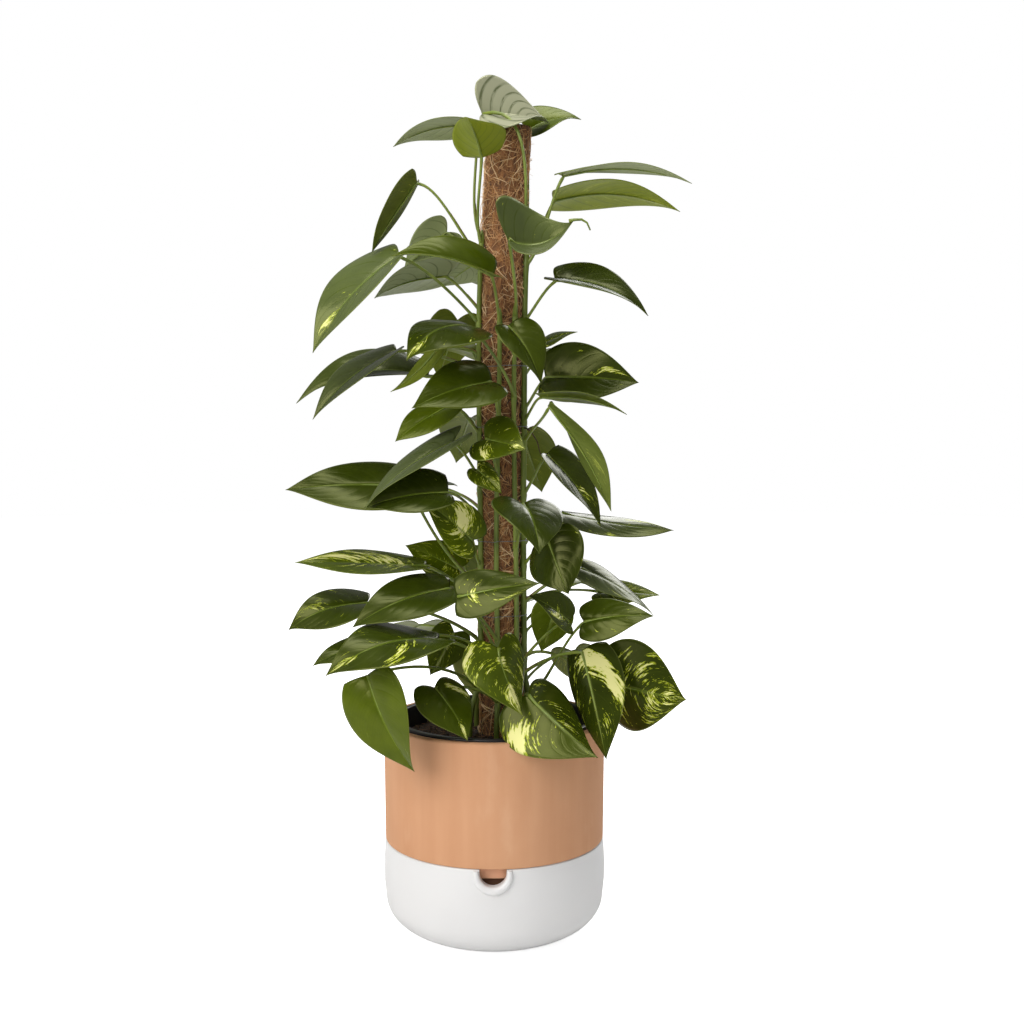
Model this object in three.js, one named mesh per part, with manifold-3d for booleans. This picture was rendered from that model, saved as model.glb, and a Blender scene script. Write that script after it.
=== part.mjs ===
// Golden pothos on a coir pole. It grows in a black nursery pot inside a terracotta pot, whose shoulder
// stands on a glazed water reservoir with a pouring notch.
// Millimetres, +Z up. The origin is on the floor below the axis of the pots, and the front faces -Y.
import * as THREE from 'three';
import { mergeVertices } from 'three/addons/utils/BufferGeometryUtils.js';
import Module from 'manifold-3d';

const wasm = await Module();
wasm.setup();

// Driving dimensions
const SEAT_GAP = 0.3;
const ROUND_SIDES = 32;
const CORNER_STEPS = 2;
const CUT_MARGIN = 5;
const HOLE_SIDES = 10;

const RESERVOIR = {
  baseRadius: 60,
  shoulderRadius: 109,
  shoulderHeight: 34,
  bellyRadius: 111,
  bellyHeight: 66,
  rimRadius: 109.4,
  rimHeight: 92.7,
  rimTaper: 0.6,
  rimTaperHeight: 6,
  wall: 8,
  floor: 9,
  outerSteps: 5,
  innerSteps: 4,
};

const NOTCH = {
  halfWidth: 12.8,
  depth: 17,
  cutAbove: 10,
  cutThrough: 30,
  curveSegments: 12,
  lipRadius: 3.2,
  lipInset: 0.8,
  sides: 8,
  steps: 14,
};

const TERRACOTTA = {
  topRadius: 110.4,
  topHeight: 212,
  edgeRounding: 2.6,
  shoulderRadius: 109.4,
  shoulderRounding: 1.2,
  sunkRadius: 95,
  sunkBottom: 45,
  sunkRounding: 6,
  wall: 7.4,
  floor: 8,
  innerStep: 2,
  drainRadius: 9,
};

const NURSERY = {
  bottomRadius: 84,
  topRadius: 97,
  lipRadius: 101.6,
  lipHeight: 5,
  lipRounding: 1.6,
  topHeight: 213.5,
  wall: 1.6,
  drainRadius: 5,
  drainCircle: 55,
  drainCount: 6,
};

const SOIL = {
  topHeight: 197,
  edgeDrop: 4,
  wallGap: 0.6,
  roughness: 1.6,
  rings: 4,
  sides: 28,
  holeGap: 0.5,
  seed: 7,
};

const POLE = {
  axisX: 7,
  radius: 21,
  coreRadius: 12,
  top: 793,
  coirBottom: 72,
  coreBottom: 56,
  coreRecess: 3,
  leanStart: 600,
  lean: 8,
  bends: 9,
  sides: 20,
  coreSides: 12,
  steps: 8,
};

const VINE = {
  radius: 2.8,
  sides: 5,
  holeDepth: 38,
  spread: 36,
  straightTop: 207,
  meetsPole: 262,
  poleGap: 0.5,
  pointStep: 23,
  segment: 29,
  sway: 4,
  swayLength: 70,
};

// Compass angles are degrees from the front, towards +X.
const VINES = {
  left: { angle: -60, top: 688 },
  front_left: { angle: -7, top: 612 },
  front_right: { angle: 35, top: 617 },
  right: { angle: 68, top: 682 },
  back_right: { angle: 135, top: 694 },
  back_left: { angle: -135, top: 692 },
};

const TIE = {
  heights: [562, 503, 391, 317],
  wireRadius: 0.6,
  clearance: 1.3,
  sides: 3,
  steps: 28,
  tailAngle: 180,
  tailSpread: 8,
  tail: 7,
};

const PETIOLE = {
  radius: 1.5,
  sides: 4,
  steps: 4,
  joinedSteps: 3,
  rootSink: 2.5,
  leaving: 0.2,
  arriving: 0.66,
  bow: 0.12,
};

const BLADE = {
  thickness: 0.8,
  lobe: 0.13,
  lobeTurn: 0.7,
  lobePower: 3,
  sweep: 0.25,
  baseWidth: 0.08,
  shoulderPower: 0.48,
  tipPower: 1.3,
  columns: 4,
  rows: 5,
  joinedColumns: 2,
  joinedRows: 5,
  normalStep: 0.01,
  normalEnd: 0.97,
};

const COLOURS = {
  glaze: { color: 0xe8e8e9, roughness: 0.2 },
  terracotta: { color: 0xcd9876, roughness: 0.85 },
  blackPlastic: { color: 0x17181a, roughness: 0.35 },
  peat: { color: 0x2b1d15, roughness: 1 },
  wood: { color: 0x9a7a55, roughness: 0.8 },
  coir: { color: 0x6b4026, roughness: 0.95 },
  wire: { color: 0x9aa0a4, roughness: 0.35, metalness: 1 },
  stem: { color: 0x5d7f33, roughness: 0.5 },
  leaf: { color: 0x3c5a22, roughness: 0.4 },
};

// Leaves that are a piece of their own. Each hangs on the vine named first, at the height of its node.
// base is where the stalk meets the blade and face is roughly where the upper side looks. fold lifts both
// halves, twist turns the blade from base to tip, arch bows the midrib, hook bends the tip down, lobe sets
// how far the lobes reach back past the base, bow lifts the stalk, and inset moves the stalk's foot
// towards a stem that bends away from it.
const LEAVES = {
  leaf_top_01: { vine: 'right', node: 672, base: [-11, -8, 805], tip: [54, 20, 801], width: 81,
    face: [-8.6, -9, 6.4], fold: 24, twist: 43, arch: 4, hook: -2, lobe: 0.12, via: [46, -28, 848] },
  leaf_top_02: { vine: 'back_right', node: 685, base: [33, 32, 798], tip: [87, 39, 811], width: 47,
    face: [-1, -7.7, 9], fold: 16, twist: 18, arch: 6, hook: 1, lobe: 0.07 },
  leaf_top_03: { vine: 'back_left', node: 683, base: [-16, 16, 798], tip: [-100, 23, 778], width: 57,
    face: [2.7, 1.6, 9], fold: -3, twist: -16, arch: 10, hook: -2, lobe: 0.02 },
  leaf_top_04: { vine: 'left', node: 680, base: [-11, -31, 759], tip: [-23, -87, 784], width: 56,
    face: [1.6, 4.5, 9], fold: 24, twist: 32, arch: 4, lobe: 0.09 },
  leaf_top_05: { vine: 'left', node: 664, base: [-74, -22, 737], tip: [-118, -33, 670], width: 45,
    face: [-5.7, 4.5, 9], fold: 14, twist: -22, arch: 1, hook: 2, lobe: 0.08, bow: 26 },
  leaf_top_06: { vine: 'left', node: 604, base: [-89, -44, 665], tip: [-167, -75, 571], width: 77,
    face: [-6.2, -9, 9], fold: 13, twist: 28, arch: 11, hook: -1, lobe: 0.08 },
  leaf_top_07: { vine: 'back_left', node: 612, base: [-48, 24, 653], tip: [-117, -9, 628], width: 59,
    face: [3.3, 6.6, 9], fold: 8, twist: -10, arch: 7, lobe: 0.17 },
  leaf_top_08: { vine: 'front_left', node: 603, base: [0, -60, 644], tip: [-92, -92, 658], width: 59,
    face: [9, -4.1, 8.8], fold: 25, twist: -6, arch: 10, hook: -1, lobe: 0.04 },
  leaf_top_09: { vine: 'front_right', node: 609, base: [14, -68, 677], tip: [75, -52, 692], width: 91,
    face: [-6.6, -9, 6.6], fold: 32, twist: 34, arch: -13, hook: -5, lobe: 0.07 },
  leaf_top_10: { vine: 'right', node: 660, base: [67, -8, 746], tip: [188, -40, 732], width: 62,
    face: [4.9, -1.2, 9], fold: 2, twist: 18, arch: 11, hook: -1, lobe: 0.03 },
  leaf_top_11: { vine: 'back_right', node: 650, base: [59, 30, 728], tip: [186, 31, 715], width: 61,
    face: [-2.1, 3.2, 9], fold: 1, twist: 3, arch: 15, hook: -3, lobe: 0.02 },
  leaf_top_12: { vine: 'right', node: 606, base: [59, -34, 643], tip: [146, -51, 606], width: 60,
    face: [2.7, -5.4, 9], fold: 14, twist: -1, arch: 13, hook: -2, lobe: 0.08 },
  leaf_mid_01: { vine: 'front_right', node: 531, base: [-21, -56, 598], tip: [-79, -91, 562], width: 83,
    face: [-3.8, -8, 9], fold: -7, twist: 12, arch: 15, hook: -2, lobe: 0.03 },
  leaf_mid_02: { vine: 'left', node: 551, base: [-94, -22, 577], tip: [-172, -50, 510], width: 53,
    face: [-3.5, -5.4, 9], fold: 10, twist: 20, arch: 9, lobe: 0.04 },
  leaf_mid_03: { vine: 'back_left', node: 537, base: [-66, 18, 553], tip: [-197, 7, 527], width: 78,
    face: [3.2, -3.8, 9], fold: 16, twist: 14, arch: 19, hook: 1, lobe: 0.03 },
  leaf_mid_04: { vine: 'front_left', node: 512, base: [-1, -60, 546], tip: [-74, -98, 521], width: 63,
    face: [1.7, -9, 7.8], fold: 7, twist: 8, arch: 6, hook: 1, lobe: 0.05 },
  leaf_mid_05: { vine: 'left', node: 496, base: [-40, -44, 525], tip: [-93, -61, 490], width: 48,
    face: [-2.5, -9, 8.2], twist: 38, arch: 3, hook: 1, lobe: 0.13 },
  leaf_mid_06: { vine: 'front_right', node: 578, base: [14, -64, 598], tip: [44, -79, 542], width: 46,
    face: [5.3, -9, 3.4], fold: 16, twist: 13, arch: 8, hook: -2, lobe: 0.03 },
  leaf_mid_07: { vine: 'right', node: 520, base: [50, -18, 551], tip: [140, -31, 545], width: 76,
    face: [-9, -8.1, 5.8], fold: 14, twist: -26, arch: 5, hook: -1, lobe: 0.04 },
  leaf_mid_08: { vine: 'right', node: 488, base: [51, -103, 523], tip: [110, -105, 427], width: 46,
    face: [9, 7.2, 7.3], fold: 14, twist: 66, arch: 6, hook: 2, lobe: 0.02, bow: -6 },
  leaf_mid_09: { vine: 'right', node: 436, base: [51, -38, 477], tip: [103, -49, 407], width: 52,
    face: [9, -7.1, 4.7], fold: 15, twist: -4, arch: 6, lobe: 0.02 },
  leaf_mid_10: { vine: 'front_left', node: 459, base: [-8, -54, 492], tip: [30, -80, 483], width: 55,
    face: [-2.1, -9, 6.2], fold: 8, twist: -2, arch: 1, hook: 1, lobe: 0.15 },
  leaf_mid_11: { vine: 'left', node: 453, base: [-38, -66, 489], tip: [-118, -97, 428], width: 40,
    face: [-5.3, -5.1, 9], fold: 6, twist: -21, arch: 8, lobe: 0.17 },
  leaf_mid_12: { vine: 'left', node: 342, base: [-79, -44, 446], tip: [-198, -54, 444], width: 68,
    face: [3.6, -9, 8.6], fold: -1, twist: 25, arch: 5, hook: 1, lobe: 0.08, bow: -22 },
  leaf_mid_13: { vine: 'left', node: 411, base: [-42, -74, 442], tip: [-119, -90, 429], width: 56,
    face: [-1.8, -9, 6.3], fold: 12, twist: 27, arch: 7, hook: 1, lobe: 0.03 },
  leaf_mid_14: { vine: 'left', node: 366, base: [-20, -54, 395], tip: [-66, -72, 434], width: 52,
    face: [3, -8, 4], fold: 10, arch: 4 },
  leaf_mid_15: { vine: 'front_right', node: 384, base: [28, -66, 431], tip: [43, -125, 391], width: 69,
    face: [3.9, -7.6, 9], twist: 3, arch: 7, hook: 2, lobe: 0.12 },
  leaf_mid_16: { vine: 'right', node: 400, base: [69, -10, 418], tip: [175, -29, 401], width: 53,
    face: [0.5, -4.5, 9], fold: -8, twist: -38, arch: -2, hook: -2, lobe: 0.04 },
  leaf_mid_17: { vine: 'right', node: 366, base: [52, -52, 395], tip: [69, -83, 348], width: 67,
    face: [-4.5, -9, 3.2], fold: -11, twist: 35, arch: 1, hook: 4, lobe: 0.11 },
  leaf_mid_18: { vine: 'right', node: 508, base: [45, -68, 531], tip: [122, -98, 512], width: 32,
    face: [4.3, 2, 9], fold: 3, twist: 13, arch: 8, hook: -3, lobe: 0.05 },
  leaf_low_01: { vine: 'left', node: 328, base: [-67, -38, 369], tip: [-189, -57, 376], width: 60,
    face: [3.1, -3.4, 9], fold: 4, twist: 31, arch: 1, hook: 2, lobe: 0.03 },
  leaf_low_02: { vine: 'front_left', node: 292, base: [-41, -68, 351], tip: [-130, -102, 320], width: 66,
    face: [-0.6, -7.3, 9], fold: 2, twist: 29, arch: 9, hook: 2, lobe: 0.06 },
  leaf_low_03: { vine: 'front_left', node: 277, base: [-33, -107, 348], tip: [43, -126, 363], width: 48,
    face: [-0.1, -9, 7.3], fold: -5, twist: 27, arch: 3, lobe: 0.03 },
  leaf_low_04: { vine: 'left', node: 290, base: [-123, -40, 333], tip: [-198, -51, 310], width: 59,
    face: [3.8, -6.7, 9], fold: 1, twist: 57, arch: 10, hook: 3, lobe: 0.07 },
  leaf_low_05: { vine: 'front_left', node: 260, base: [-51, -94, 306], tip: [-150, -137, 282], width: 83,
    face: [-2.2, -6.3, 9], fold: 1, twist: 52, arch: 15, hook: 2, lobe: 0.07 },
  leaf_low_06: { vine: 'left', node: 244, base: [-115, -114, 277], tip: [-71, -121, 189], width: 67,
    face: [-7.1, -9, 4], fold: 9, twist: -20, arch: 9, hook: -1, lobe: 0.02 },
  leaf_low_07: { vine: 'front_left', node: 232, base: [-55, -86, 260], tip: [-23, -109, 215], width: 56,
    face: [5, -9, 2.9], fold: -6, twist: -25, arch: 6, hook: 1, lobe: 0.11 },
  leaf_low_08: { vine: 'front_right', node: 242, base: [5, -106, 301], tip: [29, -132, 244], width: 73,
    face: [9, -8.2, 4.1], fold: -17, twist: 37, arch: -4, hook: 2, lobe: 0.19 },
  leaf_low_09: { vine: 'front_right', node: 226, base: [33, -98, 255], tip: [95, -139, 206], width: 91,
    face: [5.3, -9, 6.3], fold: -31, twist: 30, arch: -2, hook: -1, lobe: 0.13, inset: 0.9 },
  leaf_low_10: { vine: 'front_right', node: 253, base: [84, -62, 290], tip: [105, -101, 194], width: 70,
    face: [-3.5, -9, -0.3], fold: -35, twist: 4, arch: -2, hook: 1, lobe: 0.05 },
  leaf_low_11: { vine: 'right', node: 274, base: [112, -26, 252], tip: [185, -53, 240], width: 99,
    face: [-6.4, -9, 0.9], fold: -9, twist: 60, arch: 4, hook: 4, lobe: 0.09 },
  leaf_low_12: { vine: 'right', node: 232, base: [86, -62, 318], tip: [150, -83, 328], width: 45,
    face: [-5.3, -9, 7.2], fold: -7, twist: 13, arch: 5, hook: 3, lobe: 0.07, inset: 0.75 },
  leaf_low_13: { vine: 'right', node: 328, base: [86, -24, 365], tip: [156, -36, 321], width: 44,
    face: [9, -4.1, 5.5], fold: -6, twist: 24, arch: 5, hook: 1, lobe: 0.07 },
  leaf_low_14: { vine: 'front_right', node: 264, base: [71, -86, 322], tip: [34, -107, 350], width: 43,
    face: [2.7, -8, 9], fold: 12, twist: -15, arch: 3, hook: 2, lobe: 0.06 },
};

// Smaller and hidden leaves, and those at the back, are one piece with the vine that they grow from.
const JOINED_LEAVES = [
  { vine: 'back_left', node: 657, base: [-47, 26, 697], tip: [-92, 44, 663], width: 46, face: [0, 8, 4] },
  { vine: 'back_left', node: 635, base: [-17, 38, 669], tip: [-53, 74, 648], width: 44, face: [0, 7, 6] },
  { vine: 'left', node: 572, base: [-52, -34, 578], tip: [-98, -46, 536], width: 26, face: [7, 2, 6],
    arch: 4 },
  { vine: 'back_left', node: 566, base: [-18, 34, 578], tip: [-67, 68, 586], width: 40, face: [0, 5, 8] },
  { vine: 'right', node: 566, base: [47, 6, 584], tip: [82, -4, 596], width: 30, face: [0, -4, 9] },
  { vine: 'left', node: 441, base: [-16, -44, 463], tip: [8, -60, 440], width: 26, face: [-1, -8, 5] },
  { vine: 'back_left', node: 340, base: [-36, -2, 362], tip: [-88, -8, 386], width: 44, face: [0, -9, 4],
    arch: 3 },
  { vine: 'left', node: 282, base: [-122, -62, 295], tip: [-170, -80, 279], width: 34, face: [0, -5, 8],
    arch: 4 },
  { vine: 'back_left', node: 262, base: [-40, -2, 298], tip: [-64, -10, 256], width: 42, face: [0, -9, 4] },
  { vine: 'back_right', node: 320, base: [105, -6, 339], tip: [164, -14, 337], width: 38, face: [0, -5, 8] },
  { vine: 'right', node: 298, base: [60, -24, 326], tip: [46, -34, 284], width: 42, face: [0, -9, 3] },
  { vine: 'back_right', node: 676, base: [12, 50, 748], tip: [18, 112, 700], width: 44, face: [1, 3, 3] },
  { vine: 'back_left', node: 622, base: [-2, 66, 660], tip: [-10, 150, 650], width: 50, face: [-1, 1, 5],
    arch: 6 },
  { vine: 'back_left', node: 552, base: [-38, 50, 612], tip: [-60, 96, 552], width: 58, face: [-1, 4, 3] },
  { vine: 'back_right', node: 545, base: [50, 60, 578], tip: [96, 126, 566], width: 56, face: [0, 1, 4],
    arch: 8 },
  { vine: 'back_left', node: 478, base: [-26, 76, 512], tip: [-44, 146, 462], width: 60, face: [0, 3, 3],
    arch: 6 },
  { vine: 'back_right', node: 450, base: [28, 52, 494], tip: [50, 108, 432], width: 62, face: [1, 4, 2] },
  { vine: 'back_left', node: 415, base: [-62, 60, 440], tip: [-120, 128, 430], width: 60, face: [-1, 1, 4],
    arch: 9 },
  { vine: 'back_right', node: 370, base: [50, 74, 402], tip: [72, 148, 348], width: 64, face: [1, 3, 4],
    arch: 6 },
  { vine: 'back_left', node: 302, base: [-36, 60, 372], tip: [-56, 126, 308], width: 62, face: [-1, 4, 3] },
  { vine: 'back_right', node: 296, base: [84, 56, 340], tip: [136, 124, 322], width: 58, face: [1, 1, 4],
    arch: 9 },
  { vine: 'back_left', node: 268, base: [-80, 84, 292], tip: [-112, 158, 248], width: 62, face: [-1, 3, 4],
    arch: 6 },
  { vine: 'back_right', node: 258, base: [10, 88, 316], tip: [12, 172, 296], width: 64, face: [0, 1, 4],
    arch: 9 },
  { vine: 'back_right', node: 238, base: [84, 92, 262], tip: [118, 146, 204], width: 60, face: [1, 4, 2] },
  { vine: 'back_left', node: 234, base: [-16, 100, 262], tip: [-22, 150, 196], width: 60, face: [0, 4, 2] },
];

const UP = new THREE.Vector3(0, 0, 1);

// Shared helpers

function toSolid(geometry) {
  const bare = geometry.clone();
  bare.deleteAttribute('normal');
  bare.deleteAttribute('uv');
  const merged = mergeVertices(bare, 1e-3);
  return new wasm.Manifold(new wasm.Mesh({
    numProp: 3,
    vertProperties: Float32Array.from(merged.attributes.position.array),
    triVerts: Uint32Array.from(merged.index.array),
  }));
}

function toGeometry(solid) {
  const mesh = solid.getMesh();
  const geometry = new THREE.BufferGeometry();
  geometry.setAttribute('position', new THREE.BufferAttribute(mesh.vertProperties, 3));
  geometry.setIndex(new THREE.BufferAttribute(mesh.triVerts, 1));
  geometry.computeVertexNormals();
  return geometry;
}

function addPiece(group, name, finish, geometry) {
  const material = new THREE.MeshStandardMaterial({ metalness: 0, ...COLOURS[finish] });
  const mesh = new THREE.Mesh(geometry, material);
  mesh.name = name;
  group.add(mesh);
}

function lathe(points, sides) {
  const profile = points.map(([radius, height]) => new THREE.Vector2(radius, height));
  return new THREE.LatheGeometry(profile, sides).rotateX(Math.PI / 2);
}

function roundCorner(centreRadius, centreHeight, width, height, fromDegrees, toDegrees, steps) {
  const points = [];
  for (let i = 0; i <= steps; i += 1) {
    const angle = THREE.MathUtils.degToRad(fromDegrees + ((toDegrees - fromDegrees) * i) / steps);
    points.push([centreRadius + width * Math.cos(angle), centreHeight + height * Math.sin(angle)]);
  }
  return points;
}

function circlePoints(radius, sides) {
  const points = [];
  for (let i = 0; i < sides; i += 1) {
    const angle = (2 * Math.PI * i) / sides;
    points.push(new THREE.Vector2(radius * Math.cos(angle), radius * Math.sin(angle)));
  }
  return points;
}

function tube(curve, radius, sides, steps) {
  const section = new THREE.Shape(circlePoints(radius, sides));
  return new THREE.ExtrudeGeometry(section, { extrudePath: curve, steps, bevelEnabled: false });
}

function upright(radius, bottom, top, x, y, sides) {
  return new THREE.CylinderGeometry(radius, radius, top - bottom, sides)
    .rotateX(Math.PI / 2)
    .translate(x, y, (bottom + top) / 2);
}

// Seeded noise, the same on every run
function makeRandom(seed) {
  let state = seed;
  return () => {
    state = (state * 16807) % 2147483647;
    return state / 2147483647;
  };
}

// Pots

function makeReservoir() {
  const r = RESERVOIR;
  const innerRim = r.rimRadius - r.wall;
  const outer = [
    [0, 0],
    ...roundCorner(r.baseRadius, r.shoulderHeight, r.shoulderRadius - r.baseRadius, r.shoulderHeight, -90, 0,
      r.outerSteps),
    [r.bellyRadius, r.bellyHeight],
    [r.rimRadius + r.rimTaper, r.rimHeight - r.rimTaperHeight],
    [r.rimRadius, r.rimHeight],
  ];
  const inner = [
    [innerRim, r.rimHeight],
    [innerRim + r.rimTaper, r.bellyHeight],
    ...roundCorner(r.baseRadius, r.shoulderHeight, innerRim - r.baseRadius, r.shoulderHeight - r.floor,
      0, -90, r.innerSteps),
    [0, r.floor],
  ];
  let body = toSolid(lathe([...outer, ...inner], ROUND_SIDES));

  const opening = new THREE.Shape();
  const straight = NOTCH.depth - NOTCH.halfWidth;
  opening.moveTo(-NOTCH.halfWidth, NOTCH.cutAbove);
  opening.lineTo(-NOTCH.halfWidth, -straight);
  opening.absarc(0, -straight, NOTCH.halfWidth, Math.PI, 2 * Math.PI, false);
  opening.lineTo(NOTCH.halfWidth, NOTCH.cutAbove);
  const cutOptions = { depth: NOTCH.cutThrough, curveSegments: NOTCH.curveSegments, bevelEnabled: false };
  const cut = new THREE.ExtrudeGeometry(opening, cutOptions)
    .rotateX(Math.PI / 2)
    .translate(0, -r.rimRadius + NOTCH.cutThrough / 2, r.rimHeight);
  body = body.subtract(toSolid(cut));

  const lipHalf = NOTCH.halfWidth + NOTCH.lipRadius;
  const arcs = NOTCH.steps / 2;
  const seat = (x, z) => new THREE.Vector3(x, -Math.sqrt(r.bellyRadius ** 2 - x * x) + NOTCH.lipInset, z);
  const lip = [seat(-lipHalf, r.rimHeight)];
  for (let i = 0; i <= arcs; i += 1) {
    const angle = Math.PI * (1 + i / arcs);
    lip.push(seat(lipHalf * Math.cos(angle), r.rimHeight - straight + lipHalf * Math.sin(angle)));
  }
  lip.push(seat(lipHalf, r.rimHeight));
  const lipTube = tube(new THREE.CatmullRomCurve3(lip), NOTCH.lipRadius, NOTCH.sides, NOTCH.steps);
  return toGeometry(body.add(toSolid(lipTube)));
}

function makeTerracottaPot() {
  const t = TERRACOTTA;
  const shoulder = RESERVOIR.rimHeight + SEAT_GAP;
  const innerTop = t.topRadius - t.wall;
  const innerSunk = t.sunkRadius - t.wall;
  const floorTop = t.sunkBottom + t.floor;
  const profile = [
    [t.drainRadius, t.sunkBottom],
    ...roundCorner(t.sunkRadius - t.sunkRounding, t.sunkBottom + t.sunkRounding,
      t.sunkRounding, t.sunkRounding, -90, 0, CORNER_STEPS),
    [t.sunkRadius, shoulder],
    [t.shoulderRadius - t.shoulderRounding, shoulder],
    [t.shoulderRadius, shoulder + t.shoulderRounding],
    ...roundCorner(t.topRadius - t.edgeRounding, t.topHeight - t.edgeRounding, t.edgeRounding, t.edgeRounding,
      0, 90, CORNER_STEPS),
    ...roundCorner(innerTop + t.edgeRounding, t.topHeight - t.edgeRounding, t.edgeRounding, t.edgeRounding,
      90, 180, CORNER_STEPS),
    [innerTop, shoulder + t.wall],
    [innerSunk, shoulder - t.innerStep],
    [innerSunk, floorTop],
    [t.drainRadius, floorTop],
    [t.drainRadius, t.sunkBottom],
  ];
  return lathe(profile, ROUND_SIDES);
}

const nurseryBottom = TERRACOTTA.sunkBottom + TERRACOTTA.floor + SEAT_GAP;
const nurseryFloorTop = nurseryBottom + NURSERY.wall;

function makeNurseryPot() {
  const n = NURSERY;
  const lipBottom = n.topHeight - n.lipHeight;
  const profile = [
    [0, nurseryBottom],
    [n.bottomRadius, nurseryBottom],
    [n.topRadius, lipBottom],
    [n.lipRadius - n.lipRounding / 2, lipBottom],
    [n.lipRadius, lipBottom + n.lipRounding / 2],
    ...roundCorner(n.lipRadius - n.lipRounding, n.topHeight - n.lipRounding, n.lipRounding, n.lipRounding,
      0, 90, CORNER_STEPS),
    [n.topRadius, n.topHeight],
    [n.topRadius - n.wall, lipBottom],
    [n.bottomRadius - n.wall, nurseryFloorTop],
    [0, nurseryFloorTop],
  ];
  let body = toSolid(lathe(profile, ROUND_SIDES));
  for (let i = 0; i < n.drainCount; i += 1) {
    const angle = (2 * Math.PI * i) / n.drainCount;
    const hole = upright(n.drainRadius, nurseryBottom - CUT_MARGIN, nurseryFloorTop + CUT_MARGIN,
      n.drainCircle * Math.cos(angle), n.drainCircle * Math.sin(angle), HOLE_SIDES);
    body = body.subtract(toSolid(hole));
  }
  return toGeometry(body);
}

// Pole

function poleX(height) {
  const leaning = Math.max(0, (height - POLE.leanStart) / (POLE.top - POLE.leanStart));
  return POLE.axisX + POLE.lean * leaning ** 1.5;
}

function poleCurve(bottom, top) {
  const points = [];
  for (let i = 0; i <= POLE.bends; i += 1) {
    const height = bottom + ((top - bottom) * i) / POLE.bends;
    points.push(new THREE.Vector3(poleX(height), 0, height));
  }
  return new THREE.CatmullRomCurve3(points);
}

function makePoleCore() {
  const curve = poleCurve(POLE.coreBottom, POLE.top - POLE.coreRecess);
  return tube(curve, POLE.coreRadius, POLE.coreSides, POLE.steps);
}

function makePoleCoir() {
  const ring = new THREE.Shape(circlePoints(POLE.radius, POLE.sides));
  const bore = (POLE.coreRadius + SEAT_GAP) / Math.cos(Math.PI / POLE.coreSides);
  ring.holes.push(new THREE.Path(circlePoints(bore, POLE.coreSides)));
  const path = poleCurve(POLE.coirBottom, POLE.top);
  return new THREE.ExtrudeGeometry(ring, { extrudePath: path, steps: POLE.steps, bevelEnabled: false });
}

// Vines

function outward(degrees) {
  const angle = THREE.MathUtils.degToRad(degrees);
  return new THREE.Vector3(Math.sin(angle), -Math.cos(angle), 0);
}

function vinePoint(vine, height) {
  const hugging = POLE.radius + VINE.poleGap + VINE.radius;
  const spread = THREE.MathUtils.smoothstep(height, VINE.straightTop, VINE.meetsPole);
  const distance = THREE.MathUtils.lerp(VINE.spread, hugging, spread);
  const sway = VINE.sway * spread * Math.sin(height / VINE.swayLength + vine.angle);
  return outward(vine.angle + sway).multiplyScalar(distance).add(new THREE.Vector3(poleX(height), 0, height));
}

function vineCurve(vine) {
  const bottom = SOIL.topHeight - VINE.holeDepth;
  const count = Math.round((vine.top - bottom) / VINE.pointStep);
  const points = [];
  for (let i = 0; i <= count; i += 1) {
    points.push(vinePoint(vine, bottom + ((vine.top - bottom) * i) / count));
  }
  return new THREE.CatmullRomCurve3(points);
}

function makeVineTube(vine) {
  const steps = Math.round((vine.top - SOIL.topHeight) / VINE.segment);
  return tube(vineCurve(vine), VINE.radius, VINE.sides, steps);
}

function makeSoil() {
  const s = SOIL;
  const wallRise = NURSERY.topHeight - NURSERY.lipHeight - nurseryBottom;
  const wallSlope = (NURSERY.topRadius - NURSERY.bottomRadius) / wallRise;
  const bottomRadius = NURSERY.bottomRadius - NURSERY.wall - s.wallGap;
  const radiusAt = (height) => bottomRadius + wallSlope * (height - nurseryFloorTop);
  const bottom = nurseryFloorTop + SEAT_GAP;
  const edge = s.topHeight - s.edgeDrop;
  const profile = [[0, bottom], [radiusAt(bottom), bottom], [radiusAt(edge), edge]];
  for (let i = s.rings - 1; i >= 1; i -= 1) {
    profile.push([(radiusAt(edge) * i) / s.rings, s.topHeight - s.edgeDrop * (i / s.rings) ** 2]);
  }
  profile.push([0, s.topHeight]);
  const bare = lathe(profile, s.sides).deleteAttribute('normal').deleteAttribute('uv');
  const geometry = mergeVertices(bare, 1e-3);
  const random = makeRandom(SOIL.seed);
  const position = geometry.attributes.position;
  for (let i = 0; i < position.count; i += 1) {
    const inside = Math.hypot(position.getX(i), position.getY(i)) < radiusAt(edge) - 1;
    if (inside && position.getZ(i) > edge) {
      position.setZ(i, position.getZ(i) + s.roughness * (random() - 0.5));
    }
  }
  let body = toSolid(geometry);
  const clear = s.topHeight + CUT_MARGIN;
  const coirRadius = POLE.radius + s.holeGap;
  const coreRadius = POLE.coreRadius + s.holeGap;
  const coirHole = upright(coirRadius, POLE.coirBottom - SEAT_GAP, clear, POLE.axisX, 0, POLE.sides);
  const coreHole = upright(coreRadius, bottom - CUT_MARGIN, clear, POLE.axisX, 0, POLE.coreSides);
  body = body.subtract(toSolid(coirHole)).subtract(toSolid(coreHole));
  for (const vine of Object.values(VINES)) {
    const foot = vinePoint(vine, s.topHeight - VINE.holeDepth);
    const hole = upright(VINE.radius + s.holeGap, foot.z - SEAT_GAP, clear, foot.x, foot.y, HOLE_SIDES);
    body = body.subtract(toSolid(hole));
  }
  return toGeometry(body);
}

// Wire ties

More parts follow.
